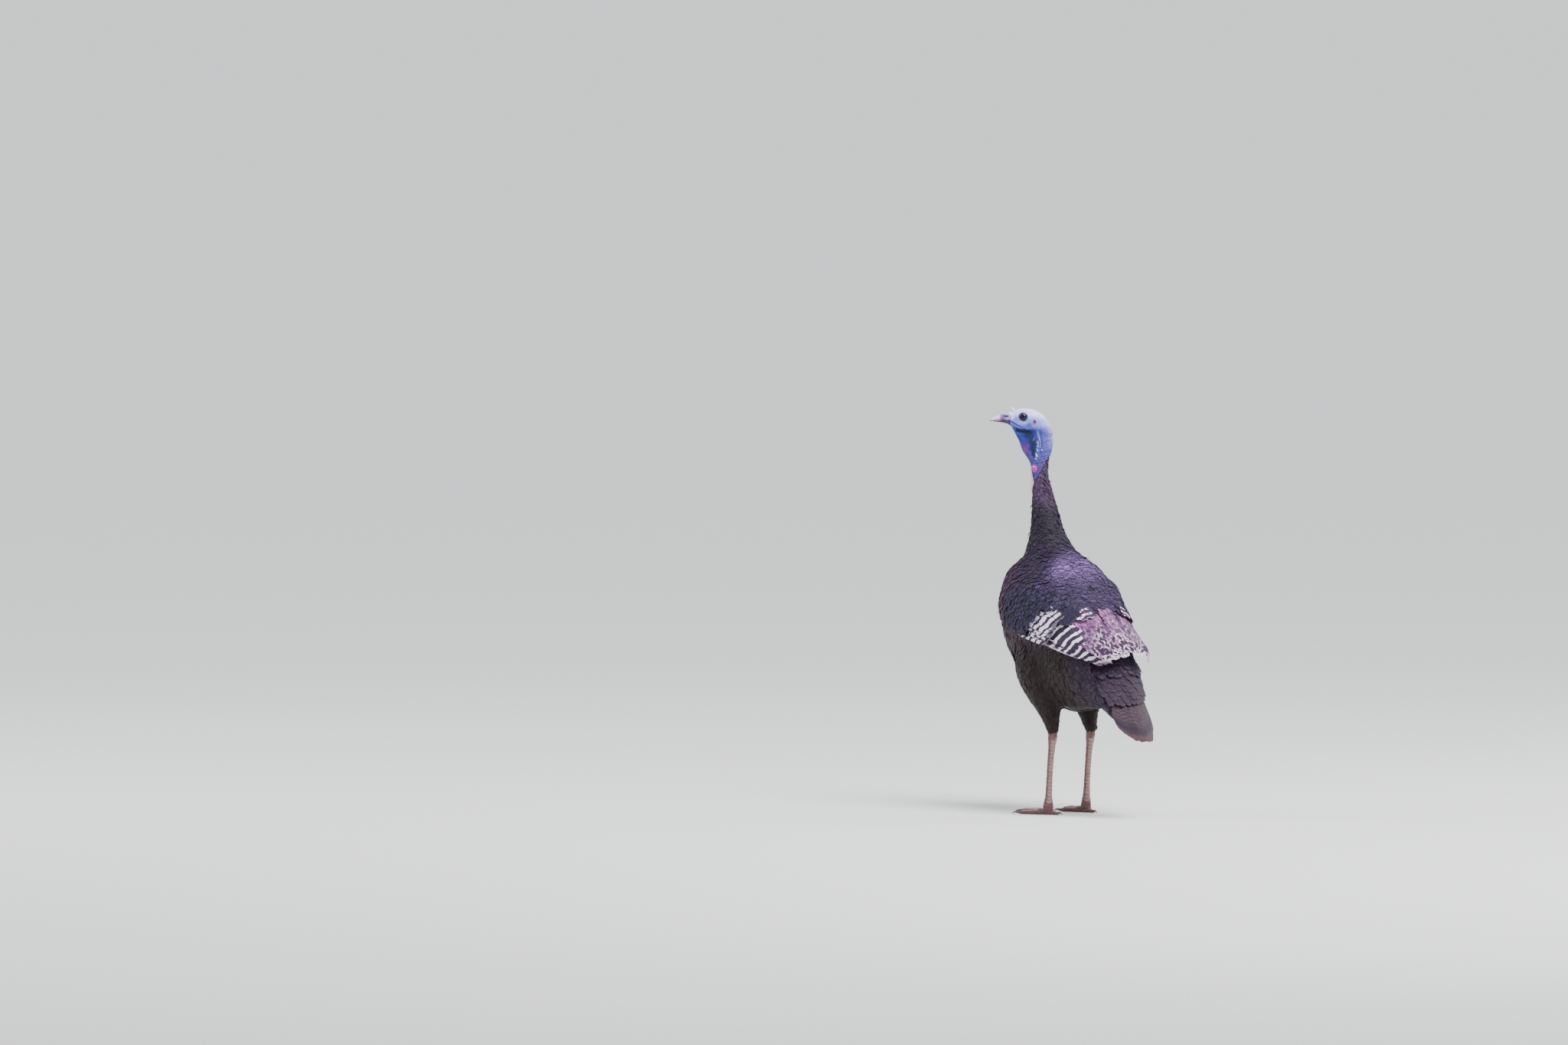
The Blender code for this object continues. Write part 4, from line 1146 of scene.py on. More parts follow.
# one skin under everything
flesh = {
    "grid": 0.0021, "smoothing": 3, "legsBelow": 0.158, "featheredAbove": 0.149,
    # how far it lies under each group's plumage
    "depth": {"body": 0.008, "wingCovert": 0.006, "wingFlight": 0.006, "thigh": 0.006, "tailRoot": 0.008},
}
fleshParts = ["trunk", "neck_lower", "neck_middle", "neck_bare", "head"] + pairs(
    "thigh_SIDE", "wing_SIDE_coverts", "shank_SIDE", "toe_inner_SIDE", "toe_middle_SIDE", "toe_outer_SIDE",
    "toe_hind_SIDE")
skin = joinedCopy("skin", fleshParts)
remeshed(skin, flesh["grid"], flesh["smoothing"])


def refine(obj, mask):
    # splits the faces whose points are all chosen
    onlyActive(obj)
    obj.data.vertices.foreach_set("select", mask)
    flags = np.array([all(mask[v] for v in p.vertices) for p in obj.data.polygons])
    obj.data.polygons.foreach_set("select", flags)
    edges = np.array([mask[e.vertices[0]] and mask[e.vertices[1]] for e in obj.data.edges])
    obj.data.edges.foreach_set("select", edges)
    bpy.ops.object.mode_set(mode="EDIT")
    bpy.ops.mesh.select_mode(type="FACE")
    bpy.ops.mesh.subdivide(number_cuts=1, smoothness=0.0)
    bpy.ops.object.mode_set(mode="OBJECT")


def headShare(points):
    # 1 on the head and bare neck, 0 below the feather line
    return ease(0.585, 0.603, points[:, 2])


for _ in range(2):
    refine(skin, headShare(pointsOf(skin)) > 0.02)
refine(skin, pointsOf(skin)[:, 2] < flesh["legsBelow"])
points = pointsOf(skin)
print("skin points", len(points))
feathered = points[:, 2] > flesh["featheredAbove"]
depth = np.zeros(len(points))
depth[feathered] = np.array([flesh["depth"][g] for g in groupNames])[groupOf(points[feathered])]
depth *= ease(0.602, 0.520, points[:, 2]) * 0.7 + 0.3
depth *= ease(0.604, 0.588, points[:, 2]) * (0.55 + 0.45 * ease(0.156, 0.190, points[:, 2]))
points = points - normalsOf(skin) * depth[:, None]
movePoints(skin, points)
applyModifier(skin, "SMOOTH", factor=0.3, iterations=2)


def pebbles(points, size, seed=0.0):
    # rounded grains of one size, 1 at each grain's middle
    found = np.empty(len(points))
    for k, point in enumerate(points / size + seed):
        near = noise.voronoi(Vector(point))[0]
        found[k] = min(1.0, (near[1] - near[0]) * 2.2)
    return found


def segmentGap(local, path):
    # distance to a line through points given ahead and up, seen from the side, and the share along it
    best = np.full(len(local), 9.0)
    share = np.zeros(len(local))
    lengths = [math.dist(a, b) for a, b in zip(path, path[1:])]
    before = 0.0
    for (a, b), length in zip(zip(path, path[1:]), lengths):
        a, b = np.array(a), np.array(b)
        t = np.clip(((local[:, [0, 2]] - a) @ (b - a)) / length**2, 0, 1)
        gap = np.linalg.norm(local[:, [0, 2]] - a - t[:, None] * (b - a), axis=1)
        closer = gap < best
        best[closer] = gap[closer]
        share[closer] = (before + t[closer] * length) / sum(lengths)
        before += length
    return best, share


face = {
    # ahead of the neck's middle and height, in metres
    "eye": (0.0374, eyeHeight), "ear": (0.0175, 0.7050), "nostril": (0.0686, 0.7150),
    "gape": ((0.0600, 0.7058), (0.0484, 0.6990), (0.0400, 0.6950), (0.0320, 0.6917)),
    "fold": ((0.0590, 0.7000), (0.0480, 0.6940), (0.0400, 0.6902), (0.0310, 0.6875)),
    "throatGroove": ((0.0150, 0.6900), (0.0178, 0.6720), (0.0190, 0.6550), (0.0200, 0.6380)),
    "paleFold": ((0.0127, 0.6885), (0.0104, 0.6830), (0.0088, 0.6766), (0.0072, 0.6700), (0.0066, 0.6645),
                 (0.0076, 0.6578), (0.0086, 0.6520)),
    "lobe": (0.0175, 0.6205),
    # pale raised spots along the fold: ahead, height, half width and half length
    "paleSpots": (
        (0.0110, 0.6668, 0.0008, 0.0020), (0.0113, 0.6608, 0.0007, 0.0018), (0.0120, 0.6540, 0.0007, 0.0020),
        (0.0138, 0.6448, 0.0012, 0.0034), (0.0152, 0.6385, 0.0008, 0.0016), (0.0038, 0.6545, 0.0009, 0.0016)),
}


def jawShade(local):
    # the band of shadow under the jaw: its upper edge and its share
    jaw = np.interp(local[:, 0], (0.022, 0.040, 0.056), (0.6895, 0.6920, 0.6950))
    share = ease(jaw + 0.0010, jaw - 0.0008, local[:, 2]) * ease(jaw - 0.0095, jaw - 0.0045, local[:, 2])
    return jaw, share * ease(0.017, 0.027, local[:, 0]) * ease(0.001, 0.004, np.abs(local[:, 1]))


def hollowShare(local):
    # the shaded hollow behind the throat's fold, wide under the jaw and closing downward
    centre, half = (np.interp(local[:, 2], (0.638, 0.645, 0.655, 0.665, 0.672, 0.678, 0.690), column)
                    for column in ((0.0187, 0.0192, 0.0203, 0.0206, 0.0212, 0.0245, 0.0255),
                                   (0.0016, 0.0040, 0.0068, 0.0080, 0.0092, 0.0120, 0.0132)))
    centre = centre + 0.0006 * np.sin(local[:, 2] * 520)
    share = np.exp(-np.abs((local[:, 0] - centre) / half) ** 3) * ease(0.002, 0.005, np.abs(local[:, 1]))
    return share * ease(0.634, 0.646, local[:, 2]) * ease(0.693, 0.687, local[:, 2])


def faceMeasures(local):
    # how far ahead, aside and up points are, their distances from the face's features and a slow wave
    ahead, left, up = local.T
    eyeGap = np.hypot(ahead - face["eye"][0], up - face["eye"][1])
    earGap = np.hypot((ahead - face["ear"][0]) * 1.25, (up - face["ear"][1]) * 0.85)
    lobeGap = np.hypot(ahead - face["lobe"][0], (up - face["lobe"][1]) * 0.72)
    wander = np.sin(up * 410 + left * 120) + np.sin(up * 790 + 2.0) + np.sin(up * 210 + 4.0)
    lines = [segmentGap(local, face[key]) for key in ("gape", "fold", "paleFold")]
    return ahead, left, up, eyeGap, earGap, lobeGap, wander, *lines


# relief of the head and the bare neck
chosen = np.nonzero(headShare(points) > 0)[0]
local = headPlace(pointsOf(skin)[chosen])
normals = normalsOf(skin)[chosen]
lift = np.zeros(len(chosen))
ahead, left, up, eyeGap, earGap, lobeGap, wander, (gapeGap, gapeShare), fold, pale = faceMeasures(local)
(foldGap, foldShare), paleGap = fold, pale[0]
onSide = ease(0.004, 0.009, np.abs(left))
grooveGap = segmentGap(local, face["throatGroove"])[0]
neckShare = ease(0.690, 0.672, up) * (1 - ease(0.020, 0.030, ahead))
nape = ease(0.012, -0.004, ahead) * ease(0.722, 0.705, up)
fine = pebbles(points[chosen], 0.0016)
coarse = pebbles(points[chosen], 0.0025, 5.0)
jaw, underJaw = jawShade(local)
calm = ease(0.0085, 0.0125, eyeGap) * ease(0.070, 0.058, ahead)
calm = calm * (1 - 0.85 * np.maximum(hollowShare(local), underJaw))
lift += 0.00030 * (fine - 0.5) * calm
lift += (0.00078 * np.maximum(neckShare, nape) + 0.00015) * (coarse - 0.5) * calm
# rings of skin round the neck, closer on the nape
rings = np.sin((up + 0.25 * ahead) * 2 * math.pi / 0.0062 + 2.0 * np.sin(up * 300 + left * 260))
lift += 0.00035 * rings * neckShare
# the mouth's line runs back under the eye, with a second fold below it
mouth = -0.0017 * bell(gapeGap, 0, 0.0008) + 0.0006 * bell(gapeGap, 0.0022, 0.0012)
lift += onSide * (1 - 0.7 * gapeShare) * mouth
lift -= onSide * 0.0012 * bell(foldGap, 0, 0.0008) * (1 - 0.5 * foldShare)
lift += onSide * (-0.0013 * bell(earGap, 0, 0.0024) + 0.0005 * bell(earGap, 0.0044, 0.0015))
# lids: a socket, a rounded rim and fine rings outside it
lift += onSide * (0.0011 * bell(eyeGap, 0.0094, 0.0012) - 0.0032 * ease(0.0082, 0.0070, eyeGap))
lidRings = ease(0.0098, 0.0105, eyeGap) * ease(0.0165, 0.0120, eyeGap)
lift += onSide * 0.00014 * np.sin((eyeGap - 0.0098) * 2 * math.pi / 0.0018) * lidRings
lift += onSide * 0.0010 * bell(up, 0.7245, 0.0022) * bell(ahead, 0.040, 0.010)  # the brow
# the hollow between the throat's fold and the neck, and the raised edge behind it
lift += onSide * 0.0009 * bell(up, jaw + 0.0016, 0.0014) * ease(0.022, 0.030, ahead)
lift -= np.maximum(0.0020 * underJaw, 0.0023 * hollowShare(local))
lift -= 0.0008 * bell(grooveGap, 0, 0.0030) * onSide
paleGap = np.abs(paleGap + 0.0005 * np.sin(up * 560))
onFold = ease(0.004, 0.008, np.abs(left))
lift += 0.0009 * (0.55 + 0.20 * wander) * bell(paleGap, 0, 0.0010) * onFold
for middle, height, wide, long in face["paleSpots"]:
    lift += 0.0007 * bell(ahead - (up - height) * 0.30, middle, wide) * bell(up, height, long) * onSide
lift -= 0.0007 * bell(paleGap, 0.0020, 0.0009) * onFold * (ahead < 0.008)
lift += 0.0017 * ease(0.0052, 0.0018, lobeGap) + 0.0006 * (coarse - 0.3) * ease(0.0060, 0.0020, lobeGap)
throatFold = ease(0.690, 0.680, up) * ease(0.018, 0.028, ahead)
lift += 0.00016 * throatFold * np.sin((up + ahead * 0.8) * 2 * math.pi / 0.0071 + 2.5 * np.sin(up * 260))
moved = pointsOf(skin)
moved[chosen] += normals * lift[:, None]
# the skin's front edge laps over the root of the bill, furthest along its top
lap = ease(0.0550, 0.0598, ahead)
forth = np.array(headAhead)
moved[chosen] += forth * (lap * (0.0012 + 0.0040 * ease(0.706, 0.721, up)))[:, None]
moved[chosen] += (normals - forth * (normals @ forth)[:, None]) * (lap * 0.0006)[:, None]
movePoints(skin, moved)
beads = np.full(len(moved), 0.5)
beads[chosen] = 0.35 * fine + 0.65 * coarse

# small rounded grains all over the legs
legs = np.nonzero(moved[:, 2] < 0.150)[0]
legPoints, legNormals = moved[legs], normalsOf(skin)[legs]
grain = pebbles(legPoints, 0.0026, 9.0)
moved[legs] += legNormals * (0.0008 * (grain - 0.4) * ease(0.0006, 0.002, legPoints[:, 2]))[:, None]
beads[legs] = grain
movePoints(skin, moved)
print("skin shaped")


def skinColours(points, beads):
    # washes of colour laid one over another, from the bare head down to the toes
    local = headPlace(points)
    ahead, left, up, eyeGap, earGap, lobeGap, wander, (gapeGap, gapeShare), fold, pale = faceMeasures(local)
    (foldGap, foldShare), paleGap = fold, pale[0]
    aside = ease(0.003, 0.009, np.abs(left))
    colour = np.broadcast_to(linear("#5f74e2"), (len(points), 3))

    def wash(code, share):
        nonlocal colour
        colour = mixed(colour, linear(code), np.clip(share, 0, 1))

    # pale crown, forehead and nape
    wash("#6f84f4", ease(0.695, 0.712, up))
    wash("#dedcff", ease(0.7085, 0.7225, up + 0.12 * (0.035 - ahead)))
    wash("#c3ccff", 0.55 * ease(0.043, 0.052, ahead) * ease(0.7140, 0.7190, up))
    wash("#d6d0ff", 0.65 * ease(0.008, -0.008, ahead) * ease(0.676, 0.700, up))
    # light patch under the eye and at the root of the bill, blue cheek
    wash("#cedaff", 0.95 * bell(ahead, 0.0385, 0.0085) * bell(up, 0.7050, 0.0045))
    wash("#dcdaff", 0.85 * ease(0.0520, 0.0570, ahead) * ease(0.7075, 0.7120, up))
    wash("#34489a", 0.74 * bell(ahead, 0.0275, 0.0060) * bell(up, 0.6995, 0.0050))
    wash("#3a55b4", 0.8 * ease(0.700, 0.691, up) * ease(0.006, 0.020, ahead))
    # throat: deep blue above, violet lower and magenta at its front
    wash("#24348e", ease(0.688, 0.678, up) * ease(0.022, 0.034, ahead))
    wash("#7488f0", 0.6 * bell(ahead, 0.0500, 0.0050) * bell(up, 0.7035, 0.0040))
    wash("#4f3596", 0.8 * ease(0.676, 0.660, up) * ease(0.020, 0.032, ahead))
    wash("#963f86", 0.6 * bell(up, 0.6535, 0.0080) * ease(0.026, 0.036, ahead))
    # side and back of the neck, paler on the beads of the nape
    wash("#4f58c0", 0.8 * ease(0.694, 0.668, up) * ease(0.016, 0.004, ahead))
    wash("#675cb8", 0.62 * ease(0.012, 0.000, ahead) * ease(0.640, 0.660, up) * ease(0.705, 0.690, up))
    wash("#c4b4f4", 0.45 * bell(ahead, 0.0040, 0.0070) * bell(up, 0.7010, 0.0070))
    wash("#dcc4ea", (0.35 + 0.35 * ease(0.666, 0.678, up)) * ease(-0.005, -0.012, ahead)
         * ease(0.640, 0.660, up) * ease(0.30, 0.70, beads))
    wash("#343a90", 0.80 * bell(ahead, 0.0058, 0.0058) * ease(0.636, 0.652, up) * ease(0.700, 0.686, up))
    wash("#4a3f88", 0.50 * ease(0.012, 0.002, ahead) * ease(0.665, 0.645, up))
    wash("#4a4168", 0.80 * bell(ahead, 0.0280, 0.0065) * bell(up, 0.6390, 0.0080))
    # the neck's foot, and a painted highlight along the throat's front edge
    wash("#54408c", 0.75 * ease(0.655, 0.628, up))
    wash("#2c3078", 0.5 * ease(0.018, 0.026, ahead) * ease(0.640, 0.625, up))
    # painted highlight along the throat's front edge
    heights = np.arange(0.630, 0.6921, 0.002)
    front = np.array([ahead[np.abs(up - at) < 0.002].max() for at in heights])
    fromFront = np.interp(up, heights, front) - ahead
    wash("#cdc6f4", 0.65 * ease(0.0022, 0.0008, fromFront) * ease(0.650, 0.660, up) * ease(0.690, 0.684, up))
    wash("#4c3f74", 0.45 * ease(0.648, 0.636, up) * ease(0.022, 0.012, ahead))
    wash("#f2deff", 0.45 * ease(0.712, 0.722, up) * ease(0.026, 0.006, ahead))
    # painted shade in the grooves between the beads and painted light on their tops
    colour = colour * (0.70 + 0.48 * beads[:, None] * ease(0.722, 0.700, up)[:, None]
                       + 0.30 * ease(0.700, 0.722, up)[:, None])
    # painted shade in the hollow over its own dark blue skin, painted shadow under the jaw and painted shade
    # at the jaw's corner
    wash("#0b1238", 0.94 * hollowShare(local) ** 0.9)
    wash("#1a2c86", 0.45 * hollowShare(local) * ease(0.671, 0.682, up))
    wash("#060c20", 0.97 * jawShade(local)[1])
    # painted shade at the jaw's corner
    wash("#241a2c", 0.70 * bell(ahead, 0.0305, 0.0028) * bell(up, 0.6815, 0.0032))
    wash("#7f93c0", 0.50 * bell(ahead + (up - 0.674) * 0.5, 0.0182, 0.0014) * bell(up, 0.6740, 0.0030))
    wash("#3d5ae0", 0.22 * bell(ahead + (0.675 - up) * 0.5, 0.0385, 0.0034) * bell(up, 0.6745, 0.0055))
    # lines of the mouth and the fold below it, painted dark as shade in their grooves, and the pale fold with
    # its spots
    wash("#121a48", 0.9 * aside * bell(gapeGap, 0, 0.0012 - 0.0006 * gapeShare) * (1 - 0.75 * gapeShare**2))
    wash("#2c3a90", 0.8 * aside * bell(foldGap, 0, 0.0011) * (1 - 0.8 * foldShare))
    wash("#c8b8f6", (0.55 + 0.15 * wander) * aside * ease(0.650, 0.666, up) * bell(paleGap, 0, 0.0008))
    wash("#5b4aa8", 0.60 * aside * ease(0.666, 0.655, up) * bell(paleGap, 0, 0.0012))
    for middle, height, wide, long in face["paleSpots"]:
        lean = (up - height) * 0.30
        wash("#f4f0ff", 0.95 * aside * bell(ahead - lean, middle, wide) * bell(up, height, long))
    wash("#433a90", 0.5 * aside * bell(paleGap, 0.0020, 0.0010) * (ahead < 0.009))
    # ear, with painted shade in the middle of its dark red hollow; root of the bill; the eye's socket,
    # painted dark as shade under the lids; and the lobe, with a painted highlight on its top
    wash("#c4b0ee", 0.5 * aside * bell(earGap, 0.0056, 0.0018))
    wash("#6e2450", 0.90 * aside * bell(earGap, 0, 0.0050))
    # painted shade in the middle of the ear's hollow
    wash("#2c0c26", 0.85 * aside * bell(earGap, 0, 0.0021))
    wash("#8f82cc", 0.7 * ease(0.0575, 0.0610, ahead) * ease(0.722, 0.716, up))
    wash("#5a68c8", 0.25 * aside * bell(eyeGap, 0.0100, 0.0014))
    # painted shade: the socket under the lids and ball darkened nearly to black
    wash("#0a0e26", aside * ease(0.0094, 0.0082, eyeGap))
    wash("#cb45b0", 0.95 * ease(0.0060, 0.0036, lobeGap))
    # painted highlight on the lobe's top
    wash("#ffa6cc", 0.6 * bell(ahead, 0.0190, 0.0018) * bell(up, 0.6250, 0.0018))
    # under the plumage the skin is painted dark as shade between the feathers
    wash("#2c2238", 0.92 * ease(-0.001, 0.003, napeBorder(up) - ahead) * ease(0.6500, 0.6440, up))
    wash("#4a3358", 0.8 * ease(0.604, 0.596, up))
    feathered = ease(0.600, 0.592, up) * ease(0.150, 0.160, points[:, 2])
    wash("#1c171b", feathered)
    # legs and feet
    leg = ease(0.172, 0.160, points[:, 2])
    wash("#84605f", leg)
    wash("#6c4d4f", leg * ease(0.03, 0.006, points[:, 2]))
    # painted shade in the grooves between the leg's grains
    wash("#3a2629", leg * 0.6 * (1 - ease(0.10, 0.45, beads)))
    return colour


tones = skinColours(moved, beads)
layer = skin.data.attributes.new("skinColour", "FLOAT_COLOR", "POINT")
layer.data.foreach_set("color", np.hstack([tones, np.ones((len(tones), 1))]).astype(np.float32).ravel())
skin.data.shade_smooth()
skinLook, add, surface = newMaterial("bareWattledSkin")  # damp living skin with a fine grain
grain = add("cells", 700.0)
blotch = add("noise", 260.0, 4.0)
mottle = add("MULTIPLY_ADD", add("rise", blotch, 0.48, 0.75), 0.26, 0.95)
mottle = add("MULTIPLY", mottle, add("MULTIPLY_ADD", add("rise", grain, 0.25, 0.6), -0.20, 1.0))
colour = add("tinted", add("attribute", attribute_name="skinColour"), add("grey", mottle, mottle, mottle))
dress(surface, colour, (add("MULTIPLY_ADD", grain, -0.6, blotch), 0.0003, 0.7), roughness=0.50, specular=0.26,
      flesh=0.12, fleshRadius=(0.004, 0.002, 0.0015), fleshScale=0.5)
finishPiece(skin, skinLook, "bare_skin", *fleshParts)
print("skin faces", len(skin.data.polygons))


# horny plates down the shanks and along the toes
scute = {
    "pitch": 0.0064, "toePitch": 0.0050, "over": 1.22, "raise": 0.00055, "colour": "#927170",
    "top": 0.137, "bottom": 0.022,
    # turns about the shank of each column's two edges, in degrees from straight ahead
    "columns": ((-66, 3), (-3, 66), (119, 182), (178, 241)), "toeTurns": (-58, 58),
}
legFaces = [tuple(p.vertices) for p in skin.data.polygons if moved[p.vertices[0], 2] < 0.155]
legTree = BVHTree.FromPolygons([tuple(p) for p in moved], legFaces)


def layPlates(name, plates):
    # plates are (middle, outward way, way along, length, first turn, last turn, reach of the limb)
    rows, columns = 5, 7
    along, side = np.meshgrid(np.linspace(0, 1, rows), np.linspace(0, 1, columns), indexing="ij")
    points = np.empty((len(plates), rows, columns, 3))
    for k, (middle, front, axis, length, low, high, reach) in enumerate(plates):
        beside = np.cross(axis, front)
        for r in range(rows):
            for c in range(columns):
                corner = abs(2 * side[r, c] - 1)
                turn = math.radians(low + (high - low) * side[r, c])
                way = front * math.cos(turn) + beside * math.sin(turn)
                spot = middle + axis * length * (along[r, c] * (1 - 0.16 * corner**3) - 0.5)
                hit = legTree.ray_cast(Vector(spot + way * reach), Vector(-way))[0]
                hit = np.array(hit if hit is not None else (np.nan,) * 3)
                height = scute["raise"] * along[r, c] ** 1.3 * (1 - 0.9 * corner**4)
                points[k, r, c] = hit + way * (height + 0.00012 - 0.0005 * (1 - along[r, c]) ** 3)
    sound = np.isfinite(points).all((1, 2, 3))
    sound &= np.ptp(points.reshape(len(plates), -1, 3), axis=1).max(-1) < 0.024
    plates, points = [plate for plate, good in zip(plates, sound) if good], points[sound]
    outward = np.array([plate[1] for plate in plates])
    tint = linear(scute["colour"]) * np.exp(chance.normal(0, 0.10, (len(plates), 1)))
    middles = np.array([plate[0] for plate in plates])
    made = vaneObject(name, points, outward, side, along, {"tint": tint[:, None, None, :]},
                      smallPatches(middles, side, along))
    return finishPiece(made, scuteHorn, "leg_scale")


scuteHorn, add, surface = newMaterial("legScuteHorn")  # smooth horn plates, pale worn lower edges
along = layerPlaces(add, "vane")[1]
tint = add("attribute", attribute_name="tint")
# painted shade: each plate darker towards its root, under the plate above
colour = add("blend", add("rise", along, 0.55, 0.0), tint, "#4a3335")
colour = add("blend", add("MULTIPLY", add("rise", along, 0.80, 0.97), 0.5), colour, "#c4a8a2")
stain = add("rise", add("noise", 420.0, 3.0), 0.45, 0.7)
colour = add("blend", add("MULTIPLY", stain, 0.3), colour, "#6a4a4e")
dress(surface, colour, (add("noise", 900.0, 2.0), 0.0002, 0.5), roughness=0.40)

down, forward = np.array((0, 0, -1.0)), np.array((0, -1.0, 0))
for label, side in (("left", 1), ("right", -1)):
    plates = []
    for height in np.arange(scute["top"], scute["bottom"], -scute["pitch"]):
        for column, turns in enumerate(scute["columns"]):
            level = height - 0.5 * scute["pitch"] * (column % 2)
            band = moved[(np.abs(moved[:, 2] - level) < 0.0015) & (moved[:, 0] * side > 0)]
            band = band[np.abs(band[:, 1] - np.median(band[:, 1])) < 0.02]
            middle = (band.min(0) + band.max(0)) / 2
            middle[2] = level
            plates.append((middle, forward, down, scute["pitch"] * scute["over"], *turns, 0.016))
    foot = middle.copy()
    for toe in ("inner", "middle", "outer", "hind"):
        claw = np.array(centreOf("toe_%s_claw_%s" % (toe, label)))
        way = claw - foot
        far = np.hypot(way[0], way[1])
        way = np.array((way[0], way[1], 0)) / far
        first = 0.014 if toe == "hind" else 0.020
        for reach in np.arange(first, far - 0.011, scute["toePitch"]):
            middle = np.array((foot[0], foot[1], 0)) + way * reach
            middle[2] = 0.0048
            plates.append((middle, -down, way, scute["toePitch"] * scute["over"], *scute["toeTurns"], 0.012))
    layPlates("legPlates" + label.title(), plates)
    print("plates", label, len(plates))


# eyes
eyeSize = {
    "radius": 0.0086, "iris": 0.0062, "pupil": 0.0036,
    # the lid from its margin outward: distance from the eye's axis, and height over the ball
    "lid": ((0.0062, 0.0001), (0.0065, 0.0006), (0.0071, 0.0009), (0.0079, 0.0011), (0.0088, 0.0008),
            (0.0097, 0.0002), (0.0105, -0.0009)),
}


def ballFacing(name, centre, facing, radius):
    bpy.ops.mesh.primitive_uv_sphere_add(segments=48, ring_count=24, radius=radius, location=(0, 0, 0))
    obj = bpy.context.active_object
    obj.name = obj.data.name = name
    turn = Vector((0, 0, 1)).rotation_difference(Vector(facing)).to_matrix().to_4x4()
    turn.translation = Vector(centre)
    obj.data.transform(turn)
    obj.data.shade_smooth()
    return obj


def eyeMaterial(name, centre, facing):
    # dark wet eye: black pupil, dark iris with fine rays, tinted navy as a painted reflection of the sky over
    # the eye's brown; glossy all over
    material, add, surface = newMaterial(name)
    offset = add("vector", add("place"), tuple(-c for c in centre))
    depth = add("measure", offset, tuple(facing), operation="DOT_PRODUCT")
    length = add("measure", offset, operation="LENGTH")
    squares = add("SUBTRACT", add("POWER", length, 2.0), add("POWER", depth, 2.0))
    out = add("SQRT", add("MAXIMUM", squares, 0.0))
    # the iris's navy tint is a painted reflection of the sky
    iris = add("blend", add("noise", 1800.0, 3.0), "#0c0d22", "#1c1a34")
    pupil, rim = eyeSize["pupil"], eyeSize["iris"]
    colour = add("blend", add("rise", out, pupil + 0.0002, pupil - 0.0002), iris, "#050406")
    colour = add("blend", add("rise", out, rim - 0.0004, rim + 0.0002), colour, "#0b0c1e")
    dress(surface, colour, roughness=0.16, specular=0.30, specularTint="#8f9cff", coat=0.30,
          coatRoughness=0.03)
    return material


lidSkin, add, surface = newMaterial("eyelidSkin")  # thin bluish lid with a dark damp margin
outward = layerPlaces(add, "rim")[1]
wrinkle = add("SINE", add("MULTIPLY", outward, 44.0))
colour = add("blend", add("rise", outward, 0.98, 0.66), "#c6c2f4", "#7680c6")
colour = add("blend", add("rise", outward, 0.62, 0.30), colour, "#080b20")
colour = add("blend", add("MULTIPLY", add("rise", wrinkle, 0.4, 1.0), 0.06), colour, "#c6cbff")
dress(surface, colour, (add("MULTIPLY_ADD", wrinkle, 0.3, add("noise", 900.0)), 0.0002, 0.6), roughness=0.38)


def makeLids(name, centre, facing, side):
    # a ring of lid hugging the ball: from its margin on the ball out to the skin
    up = np.array((0, 0, 1.0))
    front = unit(np.cross(up, np.array(facing))) * (1 if side > 0 else -1)
    radius = eyeSize["radius"]
    turns = np.linspace(0, 2 * math.pi, 72, endpoint=False)
    rows = []
    for out, height in eyeSize["lid"]:
        ring = []
        for turn in turns:
            wide = 1.0 + 0.05 * math.cos(turn) ** 2 - 0.03 * max(0.0, math.sin(turn))
            far = out * wide
            base = max(math.sqrt(max(radius**2 - far**2, 0.0)), 0.0051)
            crease = 0.00012 * math.sin(turn * 23 + out * 3000)
            ring.append(np.array(centre) + np.array(facing) * (base + height + crease)
                        + front * far * math.cos(turn) + up * far * math.sin(turn))
        rows.append(ring)
    points = np.array(rows)
    count = len(turns)
    faces = []
    for start in range(0, (len(rows) - 1) * count, count):
        for k in range(count):
            after = (k + 1) % count
            faces.append((start + k, start + after, start + count + after, start + count + k))
    if side < 0:
        faces = [f[::-1] for f in faces]
    mesh = bpy.data.meshes.new(name)
    mesh.from_pydata(points.reshape(-1, 3).tolist(), [], faces)
    mesh.shade_smooth()
    rim = mesh.uv_layers.new(name="rim")
    for loop in mesh.loops:
        row = loop.vertex_index // count
        rim.data[loop.index].uv = ((loop.vertex_index % count) / count, row / (len(rows) - 1))
    obj = bpy.data.objects.new(name, mesh)
    bpy.context.scene.collection.objects.link(obj)
    applyModifier(obj, "SUBSURF", levels=1)
    return obj


for label, side in (("left", 1), ("right", -1)):
    centre = centreOf("eye_" + label)
    facing = (headLeft * side + headAhead * 0.10 + Vector((0, 0, 0.04))).normalized()
    ball = ballFacing("eyeball" + label.title(), centre, facing, eyeSize["radius"])
    finishPiece(ball, eyeMaterial("wetEye" + label.title(), centre, facing), "eye", "eye_" + label)
    lids = makeLids("lids" + label.title(), centre, facing, side)
    finishPiece(lids, lidSkin, "bare_skin")
print("eyes set")


# bill and snood
def finer(name, part, grid, smoothing):
    # a finely faced copy of one solid
    obj = joinedCopy(name, [part])
    remeshed(obj, grid, smoothing)
    obj.data.shade_smooth()
    return obj


